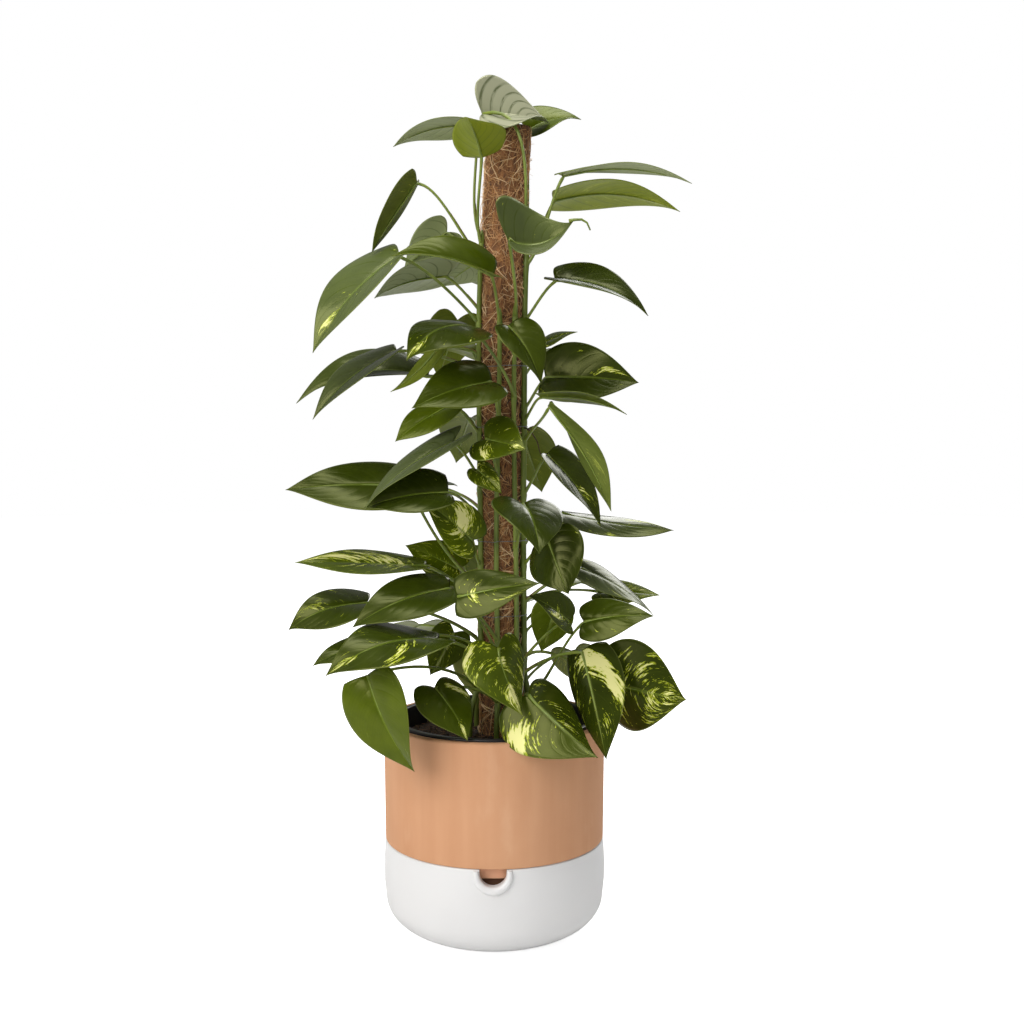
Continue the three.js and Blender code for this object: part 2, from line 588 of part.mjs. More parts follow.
// The wire follows the outline that a band pulled tight round the pole and the vines would take.
function makeTie(height) {
  const reach = TIE.clearance + TIE.wireRadius;
  const discs = [{ centre: new THREE.Vector3(poleX(height), 0, height), radius: POLE.radius + reach }];
  for (const vine of Object.values(VINES)) {
    if (vine.top > height) discs.push({ centre: vinePoint(vine, height), radius: VINE.radius + reach });
  }
  const at = (degrees) => {
    const direction = outward(degrees);
    const support = (disc) => disc.centre.dot(direction) + disc.radius;
    const widest = discs.reduce((best, disc) => (support(disc) > support(best) ? disc : best));
    return widest.centre.clone().addScaledVector(direction, widest.radius);
  };
  const first = TIE.tailAngle;
  const last = TIE.tailAngle + 360 - TIE.tailSpread;
  const beside = (degrees, distance) => at(degrees).addScaledVector(outward(degrees), distance);
  const points = [beside(first, TIE.tail), beside(first, TIE.tail / 4)];
  for (let i = 1; i < TIE.steps; i += 1) {
    points.push(at(first + ((last - first) * i) / TIE.steps));
  }
  points.push(beside(last, TIE.tail / 4), beside(last, TIE.tail));
  return tube(new THREE.CatmullRomCurve3(points), TIE.wireRadius, TIE.sides, TIE.steps + 4);
}

// Leaves

function widthShape(along) {
  return (along + BLADE.baseWidth) ** BLADE.shoulderPower * (1 - along) ** BLADE.tipPower;
}

const powerSum = BLADE.shoulderPower + BLADE.tipPower;
const widestAlong = (BLADE.shoulderPower - BLADE.tipPower * BLADE.baseWidth) / powerSum;
const widestShape = widthShape(widestAlong);

function bladeFrame(leaf) {
  const base = new THREE.Vector3(...leaf.base);
  const axis = new THREE.Vector3(...leaf.tip).sub(base);
  const length = axis.length();
  axis.normalize();
  const normal = new THREE.Vector3(...leaf.face);
  normal.addScaledVector(axis, -normal.dot(axis)).normalize();
  return { base, axis, length, normal, sideways: axis.clone().cross(normal) };
}

// A point of the blade. across runs -1 to 1 from edge to edge, along 0 to 1 from the leaf's base to its tip.
function bladePoint(leaf, frame, across, along) {
  const { fold = 0, twist = 0, arch = 2, hook = 0, lobe = BLADE.lobe } = leaf;
  const side = Math.abs(across);
  const half = ((leaf.width / 2) * widthShape(along)) / widestShape;
  const foldAngle = THREE.MathUtils.degToRad(fold);
  const turn = THREE.MathUtils.degToRad(twist) * (along - 0.5);
  const lobes = lobe * Math.sin(BLADE.lobeTurn * Math.PI * side) * (1 - along) ** BLADE.lobePower;
  const forward = along + BLADE.sweep * side * along * (1 - along) - lobes;
  const offset = across * half * Math.cos(foldAngle);
  const lift = side * half * Math.sin(foldAngle);
  const rise = 4 * arch * along * (1 - along) - hook * along ** 3;
  return frame.base.clone()
    .addScaledVector(frame.axis, frame.length * forward)
    .addScaledVector(frame.sideways, offset * Math.cos(turn) - lift * Math.sin(turn))
    .addScaledVector(frame.normal, offset * Math.sin(turn) + lift * Math.cos(turn) + rise);
}

function bladeNormal(leaf, frame, across, along) {
  const step = BLADE.normalStep;
  const a = Math.min(along, BLADE.normalEnd);
  const ahead = bladePoint(leaf, frame, across, a + step).sub(bladePoint(leaf, frame, across, a - step));
  const beside = bladePoint(leaf, frame, across + step, a).sub(bladePoint(leaf, frame, across - step, a));
  return beside.cross(ahead).normalize();
}

function makeBlade(leaf, joined) {
  const frame = bladeFrame(leaf);
  const columns = joined ? BLADE.joinedColumns : BLADE.columns;
  const rows = joined ? BLADE.joinedRows : BLADE.rows;
  const positions = [];
  const addPoint = (across, along) => {
    const middle = bladePoint(leaf, frame, across, along);
    const normal = bladeNormal(leaf, frame, across, along);
    for (const face of [0.5, -0.5]) {
      positions.push(...middle.clone().addScaledVector(normal, face * BLADE.thickness).toArray());
    }
    return positions.length / 3 - 2;
  };
  const grid = [];
  for (let row = 0; row < rows; row += 1) {
    grid.push([]);
    for (let column = 0; column <= columns; column += 1) {
      grid[row].push(addPoint((2 * column) / columns - 1, row / rows));
    }
  }
  const tip = addPoint(0, 1);

  // Each point is a pair, the upper one first. Both faces are split into triangles alike.
  const triangles = [];
  const addBoth = (a, b, c) => triangles.push(a, b, c, a + 1, c + 1, b + 1);
  const addEdge = (a, b) => triangles.push(a, a + 1, b + 1, a, b + 1, b);
  for (let row = 0; row < rows - 1; row += 1) {
    for (let column = 0; column < columns; column += 1) {
      const [a, b] = [grid[row][column], grid[row][column + 1]];
      const [d, c] = [grid[row + 1][column], grid[row + 1][column + 1]];
      if (column < columns / 2) {
        addBoth(a, b, c);
        addBoth(a, c, d);
      } else {
        addBoth(a, b, d);
        addBoth(b, c, d);
      }
    }
  }
  const last = grid[rows - 1];
  for (let column = 0; column < columns; column += 1) addBoth(last[column], last[column + 1], tip);
  const rim = [...grid[0]];
  for (let row = 1; row < rows; row += 1) rim.push(grid[row][columns]);
  rim.push(tip);
  for (let row = rows - 1; row >= 1; row -= 1) rim.push(grid[row][0]);
  rim.forEach((point, i) => addEdge(point, rim[(i + 1) % rim.length]));

  const geometry = new THREE.BufferGeometry();
  geometry.setAttribute('position', new THREE.Float32BufferAttribute(positions, 3));
  geometry.setIndex(triangles);
  return geometry;
}

// The stalk leaves its vine away from the pole, and joins the blade just past the leaf's base.
function petioleCurve(leaf, joined) {
  const vine = VINES[leaf.vine];
  const { base, axis } = bladeFrame(leaf);
  const node = vinePoint(vine, leaf.node);
  const away = outward(vine.angle);
  const leaving = base.clone().sub(node).setZ(0).normalize().add(away);
  leaving.normalize();
  const span = base.distanceTo(node);
  const { bow = PETIOLE.bow * span } = leaf;
  const start = node.clone();
  const second = node.clone().addScaledVector(leaving, PETIOLE.leaving * span);
  second.addScaledVector(UP, PETIOLE.leaving * span);
  if (!joined) {
    const lean = second.clone().sub(node).angleTo(leaving);
    const { inset = 0 } = leaf;
    const clearance = VINE.radius + SEAT_GAP + PETIOLE.radius * Math.sin(lean) - inset;
    start.addScaledVector(leaving, clearance);
    second.addScaledVector(leaving, clearance);
  }
  const along = node.clone().lerp(base, PETIOLE.arriving).addScaledVector(UP, bow);
  const third = leaf.via ? new THREE.Vector3(...leaf.via) : along;
  const end = base.clone().addScaledVector(axis, PETIOLE.rootSink);
  return new THREE.CubicBezierCurve3(start, second, third, end);
}

function makeLeafSolid(leaf, joined) {
  const steps = joined ? PETIOLE.joinedSteps : PETIOLE.steps;
  const stalk = tube(petioleCurve(leaf, joined), PETIOLE.radius, PETIOLE.sides, steps);
  return toSolid(makeBlade(leaf, joined)).add(toSolid(stalk));
}

function makeVine(name) {
  let body = toSolid(makeVineTube(VINES[name]));
  for (const leaf of JOINED_LEAVES.filter((each) => each.vine === name)) {
    body = body.add(makeLeafSolid(leaf, true));
  }
  return toGeometry(body);
}

const plant = new THREE.Group();
addPiece(plant, 'reservoir', 'glaze', makeReservoir());
addPiece(plant, 'terracotta_pot', 'terracotta', makeTerracottaPot());
addPiece(plant, 'nursery_pot', 'blackPlastic', makeNurseryPot());
addPiece(plant, 'soil', 'peat', makeSoil());
addPiece(plant, 'pole_core', 'wood', makePoleCore());
addPiece(plant, 'pole_coir', 'coir', makePoleCoir());
TIE.heights.forEach((height, i) => addPiece(plant, `wire_tie_${i + 1}`, 'wire', makeTie(height)));
for (const name of Object.keys(VINES)) addPiece(plant, `vine_${name}`, 'stem', makeVine(name));
for (const [name, leaf] of Object.entries(LEAVES)) {
  addPiece(plant, name, 'leaf', toGeometry(makeLeafSolid(leaf, false)));
}

export default plant;
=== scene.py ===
import math
import random

import bmesh
import bpy
from mathutils import Matrix, Vector, noise


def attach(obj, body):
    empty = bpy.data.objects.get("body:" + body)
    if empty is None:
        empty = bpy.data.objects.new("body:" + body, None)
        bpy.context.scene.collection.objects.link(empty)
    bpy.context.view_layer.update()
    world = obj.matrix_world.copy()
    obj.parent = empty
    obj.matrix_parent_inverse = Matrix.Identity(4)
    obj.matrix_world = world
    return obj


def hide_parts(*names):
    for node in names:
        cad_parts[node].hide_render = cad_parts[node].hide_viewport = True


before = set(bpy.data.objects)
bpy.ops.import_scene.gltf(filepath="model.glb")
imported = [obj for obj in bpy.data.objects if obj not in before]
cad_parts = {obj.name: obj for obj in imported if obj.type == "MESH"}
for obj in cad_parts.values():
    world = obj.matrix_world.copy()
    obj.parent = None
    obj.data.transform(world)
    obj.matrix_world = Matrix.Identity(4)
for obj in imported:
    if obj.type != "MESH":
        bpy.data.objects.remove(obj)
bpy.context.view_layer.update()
mm = 0.001


# Helpers for node trees

def addNode(tree, kind, inputs=None, **settings):
    node = tree.nodes.new(kind)
    for name, value in settings.items():
        setattr(node, name, value)
    for name, value in (inputs or {}).items():
        if isinstance(value, bpy.types.NodeSocket):
            tree.links.new(value, node.inputs[name])
        else:
            node.inputs[name].default_value = value
    return node


def calc(tree, operation, *values):
    return addNode(tree, "ShaderNodeMath", dict(enumerate(values)), operation=operation).outputs[0]


def ramp(tree, value, low, high, toLow=0.0, toHigh=1.0):
    limits = {"Value": value, "From Min": low, "From Max": high, "To Min": toLow, "To Max": toHigh}
    return addNode(tree, "ShaderNodeMapRange", limits, interpolation_type="SMOOTHSTEP").outputs["Result"]


# A Mix node takes its factor in socket 0 and its colours in 6 and 7, and gives a colour in 2.
def mixColor(tree, amount, first, second):
    colours = [value if isinstance(value, bpy.types.NodeSocket) else (*value, 1) for value in (first, second)]
    inputs = dict(zip((0, 6, 7), (amount, *colours)))
    return addNode(tree, "ShaderNodeMix", inputs, data_type="RGBA").outputs[2]


def newGroup(name, inputs, outputs):
    group = bpy.data.node_groups.new(name, "ShaderNodeTree")
    for way, sockets in (("INPUT", inputs), ("OUTPUT", outputs)):
        for socketName, kind in sockets.items():
            group.interface.new_socket(socketName, in_out=way, socket_type="NodeSocket" + kind)
    return group, group.nodes.new("NodeGroupInput").outputs, group.nodes.new("NodeGroupOutput").inputs


def makeMottle():
    group, given, out = newGroup(
        "mottle", {"Vector": "Vector", "Scale": "Float", "Contrast": "Float", "Low": "Color",
                   "High": "Color"}, {"Color": "Color", "Mask": "Float"})
    place = {"Vector": given["Vector"], "Scale": given["Scale"]}
    cloud = addNode(group, "ShaderNodeTexNoise", {**place, "Detail": 5.0})
    centred = calc(group, "SUBTRACT", cloud.outputs["Fac"], 0.5)
    mask = calc(group, "MULTIPLY_ADD", centred, given["Contrast"], 0.5)
    group.links.new(mask, out["Mask"])
    group.links.new(mixColor(group, mask, given["Low"], given["High"]), out["Color"])
    return group


def makeGrain():
    group, given, out = newGroup("grain", {"Vector": "Vector", "Scale": "Float", "Pores": "Float"},
                                 {"Height": "Float"})
    place = {"Vector": given["Vector"], "Scale": given["Scale"]}
    fine = addNode(group, "ShaderNodeTexNoise", {**place, "Detail": 3.0})
    pits = addNode(group, "ShaderNodeTexVoronoi", place)
    pitShape = ramp(group, pits.outputs["Distance"], 0.0, 0.35, 1.0, 0.0)
    pitDepth = calc(group, "MULTIPLY", pitShape, given["Pores"])
    group.links.new(calc(group, "SUBTRACT", fine.outputs["Fac"], pitDepth), out["Height"])
    return group


mottleGroup = makeMottle()
grainGroup = makeGrain()


def newMaterial(name, **constants):
    material = bpy.data.materials.new(name)
    material.use_nodes = True
    shader = material.node_tree.nodes["Principled BSDF"]
    for socket, value in constants.items():
        shader.inputs[socket.replace("_", " ")].default_value = value
    return material, material.node_tree, shader.inputs


def objectPlace(tree, stretch=(1, 1, 1), shift=(0, 0, 0)):
    inputs = {"Vector": addNode(tree, "ShaderNodeTexCoord").outputs["Object"], "Scale": stretch,
              "Location": shift}
    return addNode(tree, "ShaderNodeMapping", inputs).outputs[0]


def mottle(tree, place, scale, contrast, low, high):
    inputs = {"Vector": place, "Scale": scale, "Contrast": contrast, "Low": (*low, 1), "High": (*high, 1)}
    return addNode(tree, "ShaderNodeGroup", inputs, node_tree=mottleGroup).outputs


def bumpFrom(tree, shader, height, strength, distance):
    bump = addNode(tree, "ShaderNodeBump", {"Height": height, "Strength": strength, "Distance": distance})
    tree.links.new(bump.outputs["Normal"], shader["Normal"])


def grainBump(tree, shader, place, scale, pores, strength, distance):
    inputs = {"Vector": place, "Scale": scale, "Pores": pores}
    grain = addNode(tree, "ShaderNodeGroup", inputs, node_tree=grainGroup)
    bumpFrom(tree, shader, grain.outputs["Height"], strength, distance)


# A mottled finish between two colours, with a fine grain. Distances in finishes are in metres.
def surface(name, low, high, roughness, scale, contrast=1.5, grainScale=600.0, bump=0.3,
            bumpDistance=0.0004, stretch=(1, 1, 1), **constants):
    material, tree, shader = newMaterial(name, **constants)
    place = objectPlace(tree, stretch)
    colour = mottle(tree, place, scale, contrast, low, high)
    tree.links.new(colour["Color"], shader["Base Color"])
    tree.links.new(ramp(tree, colour["Mask"], 0, 1, *roughness), shader["Roughness"])
    grainBump(tree, shader, place, grainScale, 0.3, bump, bumpDistance)
    return material


# Helpers for meshes. Points, radii and profiles are in millimetres, angles in degrees.

def addObject(name, data):
    item = bpy.data.objects.new(name, data)
    bpy.context.scene.collection.objects.link(item)
    return item


def asMesh(name, bm):
    mesh = bpy.data.meshes.new(name)
    bm.to_mesh(mesh)
    bm.free()
    return mesh


def evaluatedMesh(item):
    bpy.context.view_layer.update()
    return bpy.data.meshes.new_from_object(item.evaluated_get(bpy.context.evaluated_depsgraph_get()))


def finishPiece(name, mesh, materials, replaced=(), sharpAngle=None):
    for material in materials:
        mesh.materials.append(material)
    mesh.shade_smooth()
    if sharpAngle:
        mesh.set_sharp_from_angle(angle=math.radians(sharpAngle))
    piece = addObject(name, mesh)
    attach(piece, "root")
    if replaced:
        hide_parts(*replaced)
    return piece


def newPiece(name, bm, materials, replaced=(), sharpAngle=None):
    return finishPiece(name, asMesh(name, bm), materials, replaced, sharpAngle)


def vertsIn(geometry):
    return [item for item in geometry if isinstance(item, bmesh.types.BMVert)]


# Points of an arc, round or with its own height, as (radius, height).
def arc(centreRadius, centreHeight, size, start, end, steps, tall=None):
    rise = size if tall is None else tall
    angles = [math.radians(start + (end - start) * i / steps) for i in range(steps + 1)]
    return [(centreRadius + size * math.cos(a), centreHeight + rise * math.sin(a)) for a in angles]


def spinProfile(profile, steps):
    bm = bmesh.new()
    verts = [bm.verts.new((radius * mm, 0, height * mm)) for radius, height in profile]
    edges = [bm.edges.new(pair) for pair in zip(verts, verts[1:])]
    bmesh.ops.spin(bm, geom=verts + edges, cent=(0, 0, 0), axis=(0, 0, 1), angle=2 * math.pi, steps=steps,
                   use_merge=True)
    bmesh.ops.remove_doubles(bm, verts=bm.verts, dist=1e-6)
    bmesh.ops.recalc_face_normals(bm, faces=bm.faces)
    return bm


# Extrudes a ring of edges and gives the new vertices, edges and faces.
def extrudeRing(bm, edges):
    out = bmesh.ops.extrude_edge_only(bm, edges=edges)["geom"]
    ring = vertsIn(out)
    ends = set(ring)
    rim = [item for item in out if isinstance(item, bmesh.types.BMEdge) and set(item.verts) <= ends]
    return ring, rim, [item for item in out if isinstance(item, bmesh.types.BMFace)]


def ringPlaces(points, radii):
    places = []
    side = Vector((0, 0, 1))
    for i, point in enumerate(points):
        ahead = (points[min(i + 1, len(points) - 1)] - points[max(i - 1, 0)]).normalized()
        side = side - ahead * side.dot(ahead)
        if side.length < 1e-4:
            side = ahead.orthogonal()
        side.normalize()
        turn = Matrix((side, ahead.cross(side), ahead)).transposed().to_4x4()
        places.append(Matrix.Translation(point * mm) @ turn @ Matrix.Scale(radii[i] * mm, 4))
    return places


# A round tube, made by extruding a circle along its points.
def sweepTube(bm, points, radii, sides, materialIndex=0):
    if isinstance(radii, (int, float)):
        radii = [radii] * len(points)
    places = ringPlaces(points, radii)
    ring = bmesh.ops.create_circle(bm, cap_ends=True, segments=sides, radius=1, matrix=places[0])["verts"]
    faces = {face for vert in ring for face in vert.link_faces}
    edges = list({edge for vert in ring for edge in vert.link_edges})
    for before, after in zip(places, places[1:]):
        ring, edges, walls = extrudeRing(bm, edges)
        faces.update(walls)
        bmesh.ops.transform(bm, matrix=after @ before.inverted(), verts=ring)
    faces.update(bmesh.ops.contextual_create(bm, geom=edges)["faces"])
    bmesh.ops.recalc_face_normals(bm, faces=list(faces))
    for face in faces:
        face.material_index = materialIndex


def tapered(thick, loss, count):
    return [thick - loss * i / count for i in range(count)]


# Many thin strands at once, as a bevelled curve turned into a mesh.
def strandPiece(name, strands, material, endShare=0.45):
    curve = bpy.data.curves.new(name, "CURVE")
    curve.dimensions = "3D"
    curve.bevel_depth = mm
    curve.bevel_resolution = 0
    curve.use_fill_caps = True
    for points, radius in strands:
        spline = curve.splines.new("POLY")
        spline.points.add(len(points) - 1)
        for place, point in zip(spline.points, points):
            place.co = (*(point * mm), 1)
            place.radius = radius
        for place in (spline.points[0], spline.points[-1]):
            place.radius = radius * endShare
    holder = addObject(name + "Curve", curve)
    mesh = evaluatedMesh(holder)
    mesh.name = name
    bpy.data.objects.remove(holder)
    bpy.data.curves.remove(curve)
    mesh.materials.clear()
    return finishPiece(name, mesh, [material])


# Pots

reservoirForm = {"baseRadius": 60, "shoulderRadius": 109, "shoulderHeight": 34, "lowerSide": (110.7, 50),
                 "belly": (111, 66), "upperSide": (110.1, 84), "rimRadius": 109.4, "rimHeight": 92.7,
                 "rimRounding": 2.2, "wall": 8, "floor": 9, "steps": 144, "sharpAngle": 50}
notchForm = {"halfWidth": 12.8, "depth": 17, "lipRadius": 3.8, "lipSeat": 0.8, "lipInset": 0.8, "lipDrop": 1,
             "lipEnd": 0.55, "arcs": 28, "sides": 16, "cutAbove": 10, "cutFrom": -125, "cutDepth": 30}
terracottaForm = {"topRadius": 110.4, "topHeight": 212, "edgeRounding": 2.6, "shoulderRadius": 109.4,
                  "shoulderHeight": 93, "shoulderRounding": 1.2, "sunkRadius": 95, "sunkBottom": 45,
                  "sunkRounding": 6, "collarRadius": 98.5, "collarHeight": 81, "slope": 2, "wall": 7.4,
                  "floor": 8, "drainRadius": 9, "steps": 144, "sharpAngle": 40}
nurseryForm = {"bottom": 53.3, "bottomRadius": 84, "topRadius": 97, "lipRadius": 101.6, "lipHeight": 5,
               "topHeight": 213.5, "wall": 1.6, "rounding": 1.6, "innerRounding": 1.2, "lipBevel": 0.8,
               "steps": 128, "sharpAngle": 40}


def notchPath(halfWidth, endHeight):
    n = notchForm
    centreHeight = reservoirForm["rimHeight"] - n["depth"] + n["halfWidth"]
    bend = arc(0, centreHeight, halfWidth, 180, 360, n["arcs"])
    return [(-halfWidth, endHeight), *bend, (halfWidth, endHeight)]


def reservoirShell():
    r = reservoirForm
    innerRim = r["rimRadius"] - r["wall"]
    rounding = r["rimRounding"]
    rimCentre = r["rimHeight"] - rounding
    outer = arc(r["baseRadius"], r["shoulderHeight"], r["shoulderRadius"] - r["baseRadius"], -90, 0, 20,
                r["shoulderHeight"])
    rim = arc(r["rimRadius"] - rounding, rimCentre, rounding, 0, 90, 6)
    rim += arc(innerRim + rounding, rimCentre, rounding, 90, 180, 6)
    inner = arc(r["baseRadius"], r["shoulderHeight"], innerRim - r["baseRadius"], 0, -90, 12,
                r["shoulderHeight"] - r["floor"])
    sides = [r["lowerSide"], r["belly"], r["upperSide"]]
    return spinProfile([(0, 0), *outer, *sides, *rim, *inner, (0, r["floor"])], r["steps"])


def notchCutter():
    n = notchForm
    bm = bmesh.new()
    outline = notchPath(n["halfWidth"], reservoirForm["rimHeight"] + n["cutAbove"])
    face = bm.faces.new([bm.verts.new((x * mm, n["cutFrom"] * mm, z * mm)) for x, z in outline])
    grown = bmesh.ops.extrude_face_region(bm, geom=[face])["geom"]
    bmesh.ops.translate(bm, vec=(0, n["cutDepth"] * mm, 0), verts=vertsIn(grown))
    bmesh.ops.recalc_face_normals(bm, faces=bm.faces)
    return addObject("notchCut", asMesh("notchCut", bm))


# The rolled lip follows the edge of the notch on the round belly.
def addNotchLip(bm):
    n = notchForm
    belly = reservoirForm["belly"][0]
    halfWidth = n["halfWidth"] + n["lipRadius"] * n["lipSeat"]
    path = notchPath(halfWidth, reservoirForm["rimHeight"] - n["lipDrop"])
    seat = [Vector((x, n["lipInset"] - math.sqrt(belly ** 2 - x * x), z)) for x, z in path]
    swell = [math.sin(math.pi * i / (len(seat) - 1)) ** 0.5 for i in range(len(seat))]
    radii = [n["lipRadius"] * (n["lipEnd"] + (1 - n["lipEnd"]) * share) for share in swell]
    sweepTube(bm, seat, radii, n["sides"])


def makeReservoir(material):
    piece = newPiece("reservoirBowl", reservoirShell(), [material], ["reservoir"])
    cutter = notchCutter()
    boolean = piece.modifiers.new("notch", "BOOLEAN")
    boolean.object = cutter
    boolean.operation = "DIFFERENCE"
    boolean.solver = "EXACT"
    cut = evaluatedMesh(piece)
    piece.modifiers.clear()
    piece.data = cut
    bpy.data.objects.remove(cutter)
    bm = bmesh.new()
    bm.from_mesh(cut)
    addNotchLip(bm)
    bm.to_mesh(cut)
    bm.free()
    cut.shade_smooth()
    cut.set_sharp_from_angle(angle=math.radians(reservoirForm["sharpAngle"]))


def makeTerracotta(material):
    t = terracottaForm
    innerTop = t["topRadius"] - t["wall"]
    innerSunk = t["sunkRadius"] - t["wall"]
    floorTop = t["sunkBottom"] + t["floor"]
    edge, foot, ledge = t["edgeRounding"], t["sunkRounding"], t["shoulderRounding"]
    profile = [
        (t["drainRadius"], t["sunkBottom"]),
        *arc(t["sunkRadius"] - foot, t["sunkBottom"] + foot, foot, -90, 0, 6),
        (t["sunkRadius"], t["collarHeight"] - t["slope"]),
        (t["collarRadius"], t["collarHeight"]),
        (t["collarRadius"], t["shoulderHeight"]),
        *arc(t["shoulderRadius"] - ledge, t["shoulderHeight"] + ledge, ledge, -90, 0, 4),
        *arc(t["topRadius"] - edge, t["topHeight"] - edge, edge, 0, 90, 8),
        *arc(innerTop + edge, t["topHeight"] - edge, edge, 90, 180, 8),
        (innerTop, t["shoulderHeight"] + t["wall"]),
        (innerSunk, t["shoulderHeight"] - t["slope"]),
        (innerSunk, floorTop),
        (t["drainRadius"], floorTop),
        (t["drainRadius"], t["sunkBottom"]),
    ]
    bm = spinProfile(profile, t["steps"])
    newPiece("terracottaPot", bm, [material], ["terracotta_pot"], t["sharpAngle"])


def makeNursery(material):
    n = nurseryForm
    lipBottom = n["topHeight"] - n["lipHeight"]
    outer, inner = n["rounding"], n["innerRounding"]
    innerTop = n["topRadius"] - n["wall"]
    profile = [
        (0, n["bottom"]),
        (n["bottomRadius"], n["bottom"]),
        (n["topRadius"], lipBottom),
        (n["lipRadius"] - n["lipBevel"], lipBottom),
        (n["lipRadius"], lipBottom + n["lipBevel"]),
        *arc(n["lipRadius"] - outer, n["topHeight"] - outer, outer, 0, 90, 6),
        *arc(innerTop + inner, n["topHeight"] - inner, inner, 90, 180, 4),
        (innerTop, lipBottom),
        (n["bottomRadius"] - n["wall"], n["bottom"] + n["wall"]),
        (0, n["bottom"] + n["wall"]),
    ]
    bm = spinProfile(profile, n["steps"])
    newPiece("nurseryPot", bm, [material], ["nursery_pot"], n["sharpAngle"])


# Soil with crumbs and fibres. A lump is its fineness, the slice of noise that it is cut from, and its height.

soilForm = {"topHeight": 197, "edgeDrop": 4, "radius": 95, "bottomRadius": 82, "bottom": 56, "rings": 46,
            "around": 110, "lumps": [(0.055, 3, 1.4), (0.17, 9, 0.9), (0.5, 5, 0.5)], "settled": 0.8,
            "edgeInset": 0.5, "edgeStep": 1}
crumbForm = {"count": 620, "reach": 94, "sizes": (0.7, 2.4), "lengths": (0.7, 1.5), "heights": (0.5, 0.9),
             "lift": 0.3, "sharpAngle": 30}
fibreForm = {"count": 260, "reach": 90, "limit": 94, "lengths": (6, 20), "radii": (0.12, 0.3), "steps": 5,
             "wander": 0.4, "lift": 0.4, "arch": 1.4}
wholeTurn = (0, 2 * math.pi)


def soilHeight(x, y):
    s = soilForm
    lump = sum(noise.noise(Vector((x, y, part)) * fine) * size for fine, part, size in s["lumps"])
    return s["topHeight"] - s["edgeDrop"] * (math.hypot(x, y) / s["radius"]) ** 2 + lump - s["settled"]


def soilSpot(draw, reach):
    angle, radius = draw.uniform(*wholeTurn), reach * math.sqrt(draw.random())
    return radius * math.cos(angle), radius * math.sin(angle)


def makeSoilBed(material):
    s = soilForm
    edge = (s["radius"] - s["edgeInset"], s["topHeight"] - s["edgeDrop"] - s["edgeStep"])
    top = [(s["radius"] * i / s["rings"], s["topHeight"]) for i in range(s["rings"] - 1, -1, -1)]
    bm = spinProfile([(0, s["bottom"]), (s["bottomRadius"], s["bottom"]), edge, *top], s["around"])
    for vert in bm.verts:
        if vert.co.z > (s["topHeight"] - s["edgeStep"]) * mm:
            vert.co.z = soilHeight(vert.co.x / mm, vert.co.y / mm) * mm
    bmesh.ops.recalc_face_normals(bm, faces=bm.faces)
    newPiece("soilBed", bm, [material], ["soil"])


def makeCrumbs(draw, material):
    c = crumbForm
    bm = bmesh.new()
    for i in range(c["count"]):
        x, y = soilSpot(draw, c["reach"])
        size = draw.uniform(*c["sizes"])
        place = Matrix.Translation(Vector((x, y, soilHeight(x, y) + size * c["lift"])) * mm)
        angle = draw.uniform(0, 6)
        turn = Matrix.Rotation(angle, 4, Vector((draw.random(), draw.random(), draw.random() + 0.1)))
        long, tall = size * draw.uniform(*c["lengths"]), size * draw.uniform(*c["heights"])
        stretch = Matrix.Diagonal((long * mm, size * mm, tall * mm, 1))
        bmesh.ops.create_icosphere(bm, subdivisions=1, radius=1, matrix=place @ turn @ stretch)
    newPiece("soilCrumbs", bm, [material], sharpAngle=c["sharpAngle"])


def makeSoilFibres(draw, material):
    f = fibreForm
    strands = []
    for i in range(f["count"]):
        start = Vector((*soilSpot(draw, f["reach"]), 0))
        heading = draw.uniform(*wholeTurn)
        length = draw.uniform(*f["lengths"])
        points = []
        for j in range(f["steps"] + 1):
            spot = start + Vector((math.cos(heading), math.sin(heading), 0)) * length * j / f["steps"]
            heading += draw.uniform(-f["wander"], f["wander"])
            arch = f["arch"] * math.sin(math.pi * j / f["steps"]) * draw.random()
            spot.z = soilHeight(spot.x, spot.y) + f["lift"] + arch
            if math.hypot(spot.x, spot.y) < f["limit"]:
                points.append(spot)
        if len(points) > 2:
            strands.append((points, draw.uniform(*f["radii"])))
    strandPiece("soilFibres", strands, material)


def makeSoil(bedMaterial, crumbMaterial, fibreMaterial):
    makeSoilBed(bedMaterial)
    draw = random.Random(11)
    makeCrumbs(draw, crumbMaterial)
    makeSoilFibres(draw, fibreMaterial)


# Pole with its coir sleeve. Its fibres lie in layers: count, lengths, lift off the sleeve and radii.

poleForm = {"axisX": 7, "radius": 21, "boreRadius": 12.4, "top": 793, "bottom": 160, "leanStart": 600,
            "lean": 8, "leanPower": 1.5, "around": 84, "rows": 240, "inset": 0.3,
            "lumps": [(0.8, 0.5), (2.4, 0.45), (6, 0.3)], "lumpSize": 0.9, "lumpAround": 3, "lumpUp": 0.09,
            "endRings": [(5, 0.6), (1, 0.2), (0, 0)], "endNoise": 400, "boreDepth": 12}
coirForm = {"layers": {"coirFibresDark": (3800, (6, 17), 0.9, (0.12, 0.28)),
                       "coirFibresMid": (3200, (5, 17), 1.4, (0.11, 0.26)),
                       "coirFibresPale": (900, (5, 24), 1.9, (0.13, 0.36)),
                       "coirStraws": (170, (12, 36), 3.4, (0.32, 0.58))},
            "points": 5, "slopes": 1.1, "bends": 0.7, "from": 190, "below": 4, "past": 1.5, "sunk": 0.2}
sprayForm = {"count": 420, "from": 240, "below": 2, "lengths": (2, 6.5), "rises": (-3, 5),
             "turns": (-0.25, 0.25), "radii": (0.1, 0.18), "root": 20.5, "limit": 795,
             "steps": (0, 0.35, 0.7, 1), "curl": 1.4}


def poleX(height):
    leaning = max(0.0, (height - poleForm["leanStart"]) / (poleForm["top"] - poleForm["leanStart"]))
    return poleForm["axisX"] + poleForm["lean"] * leaning ** poleForm["leanPower"]


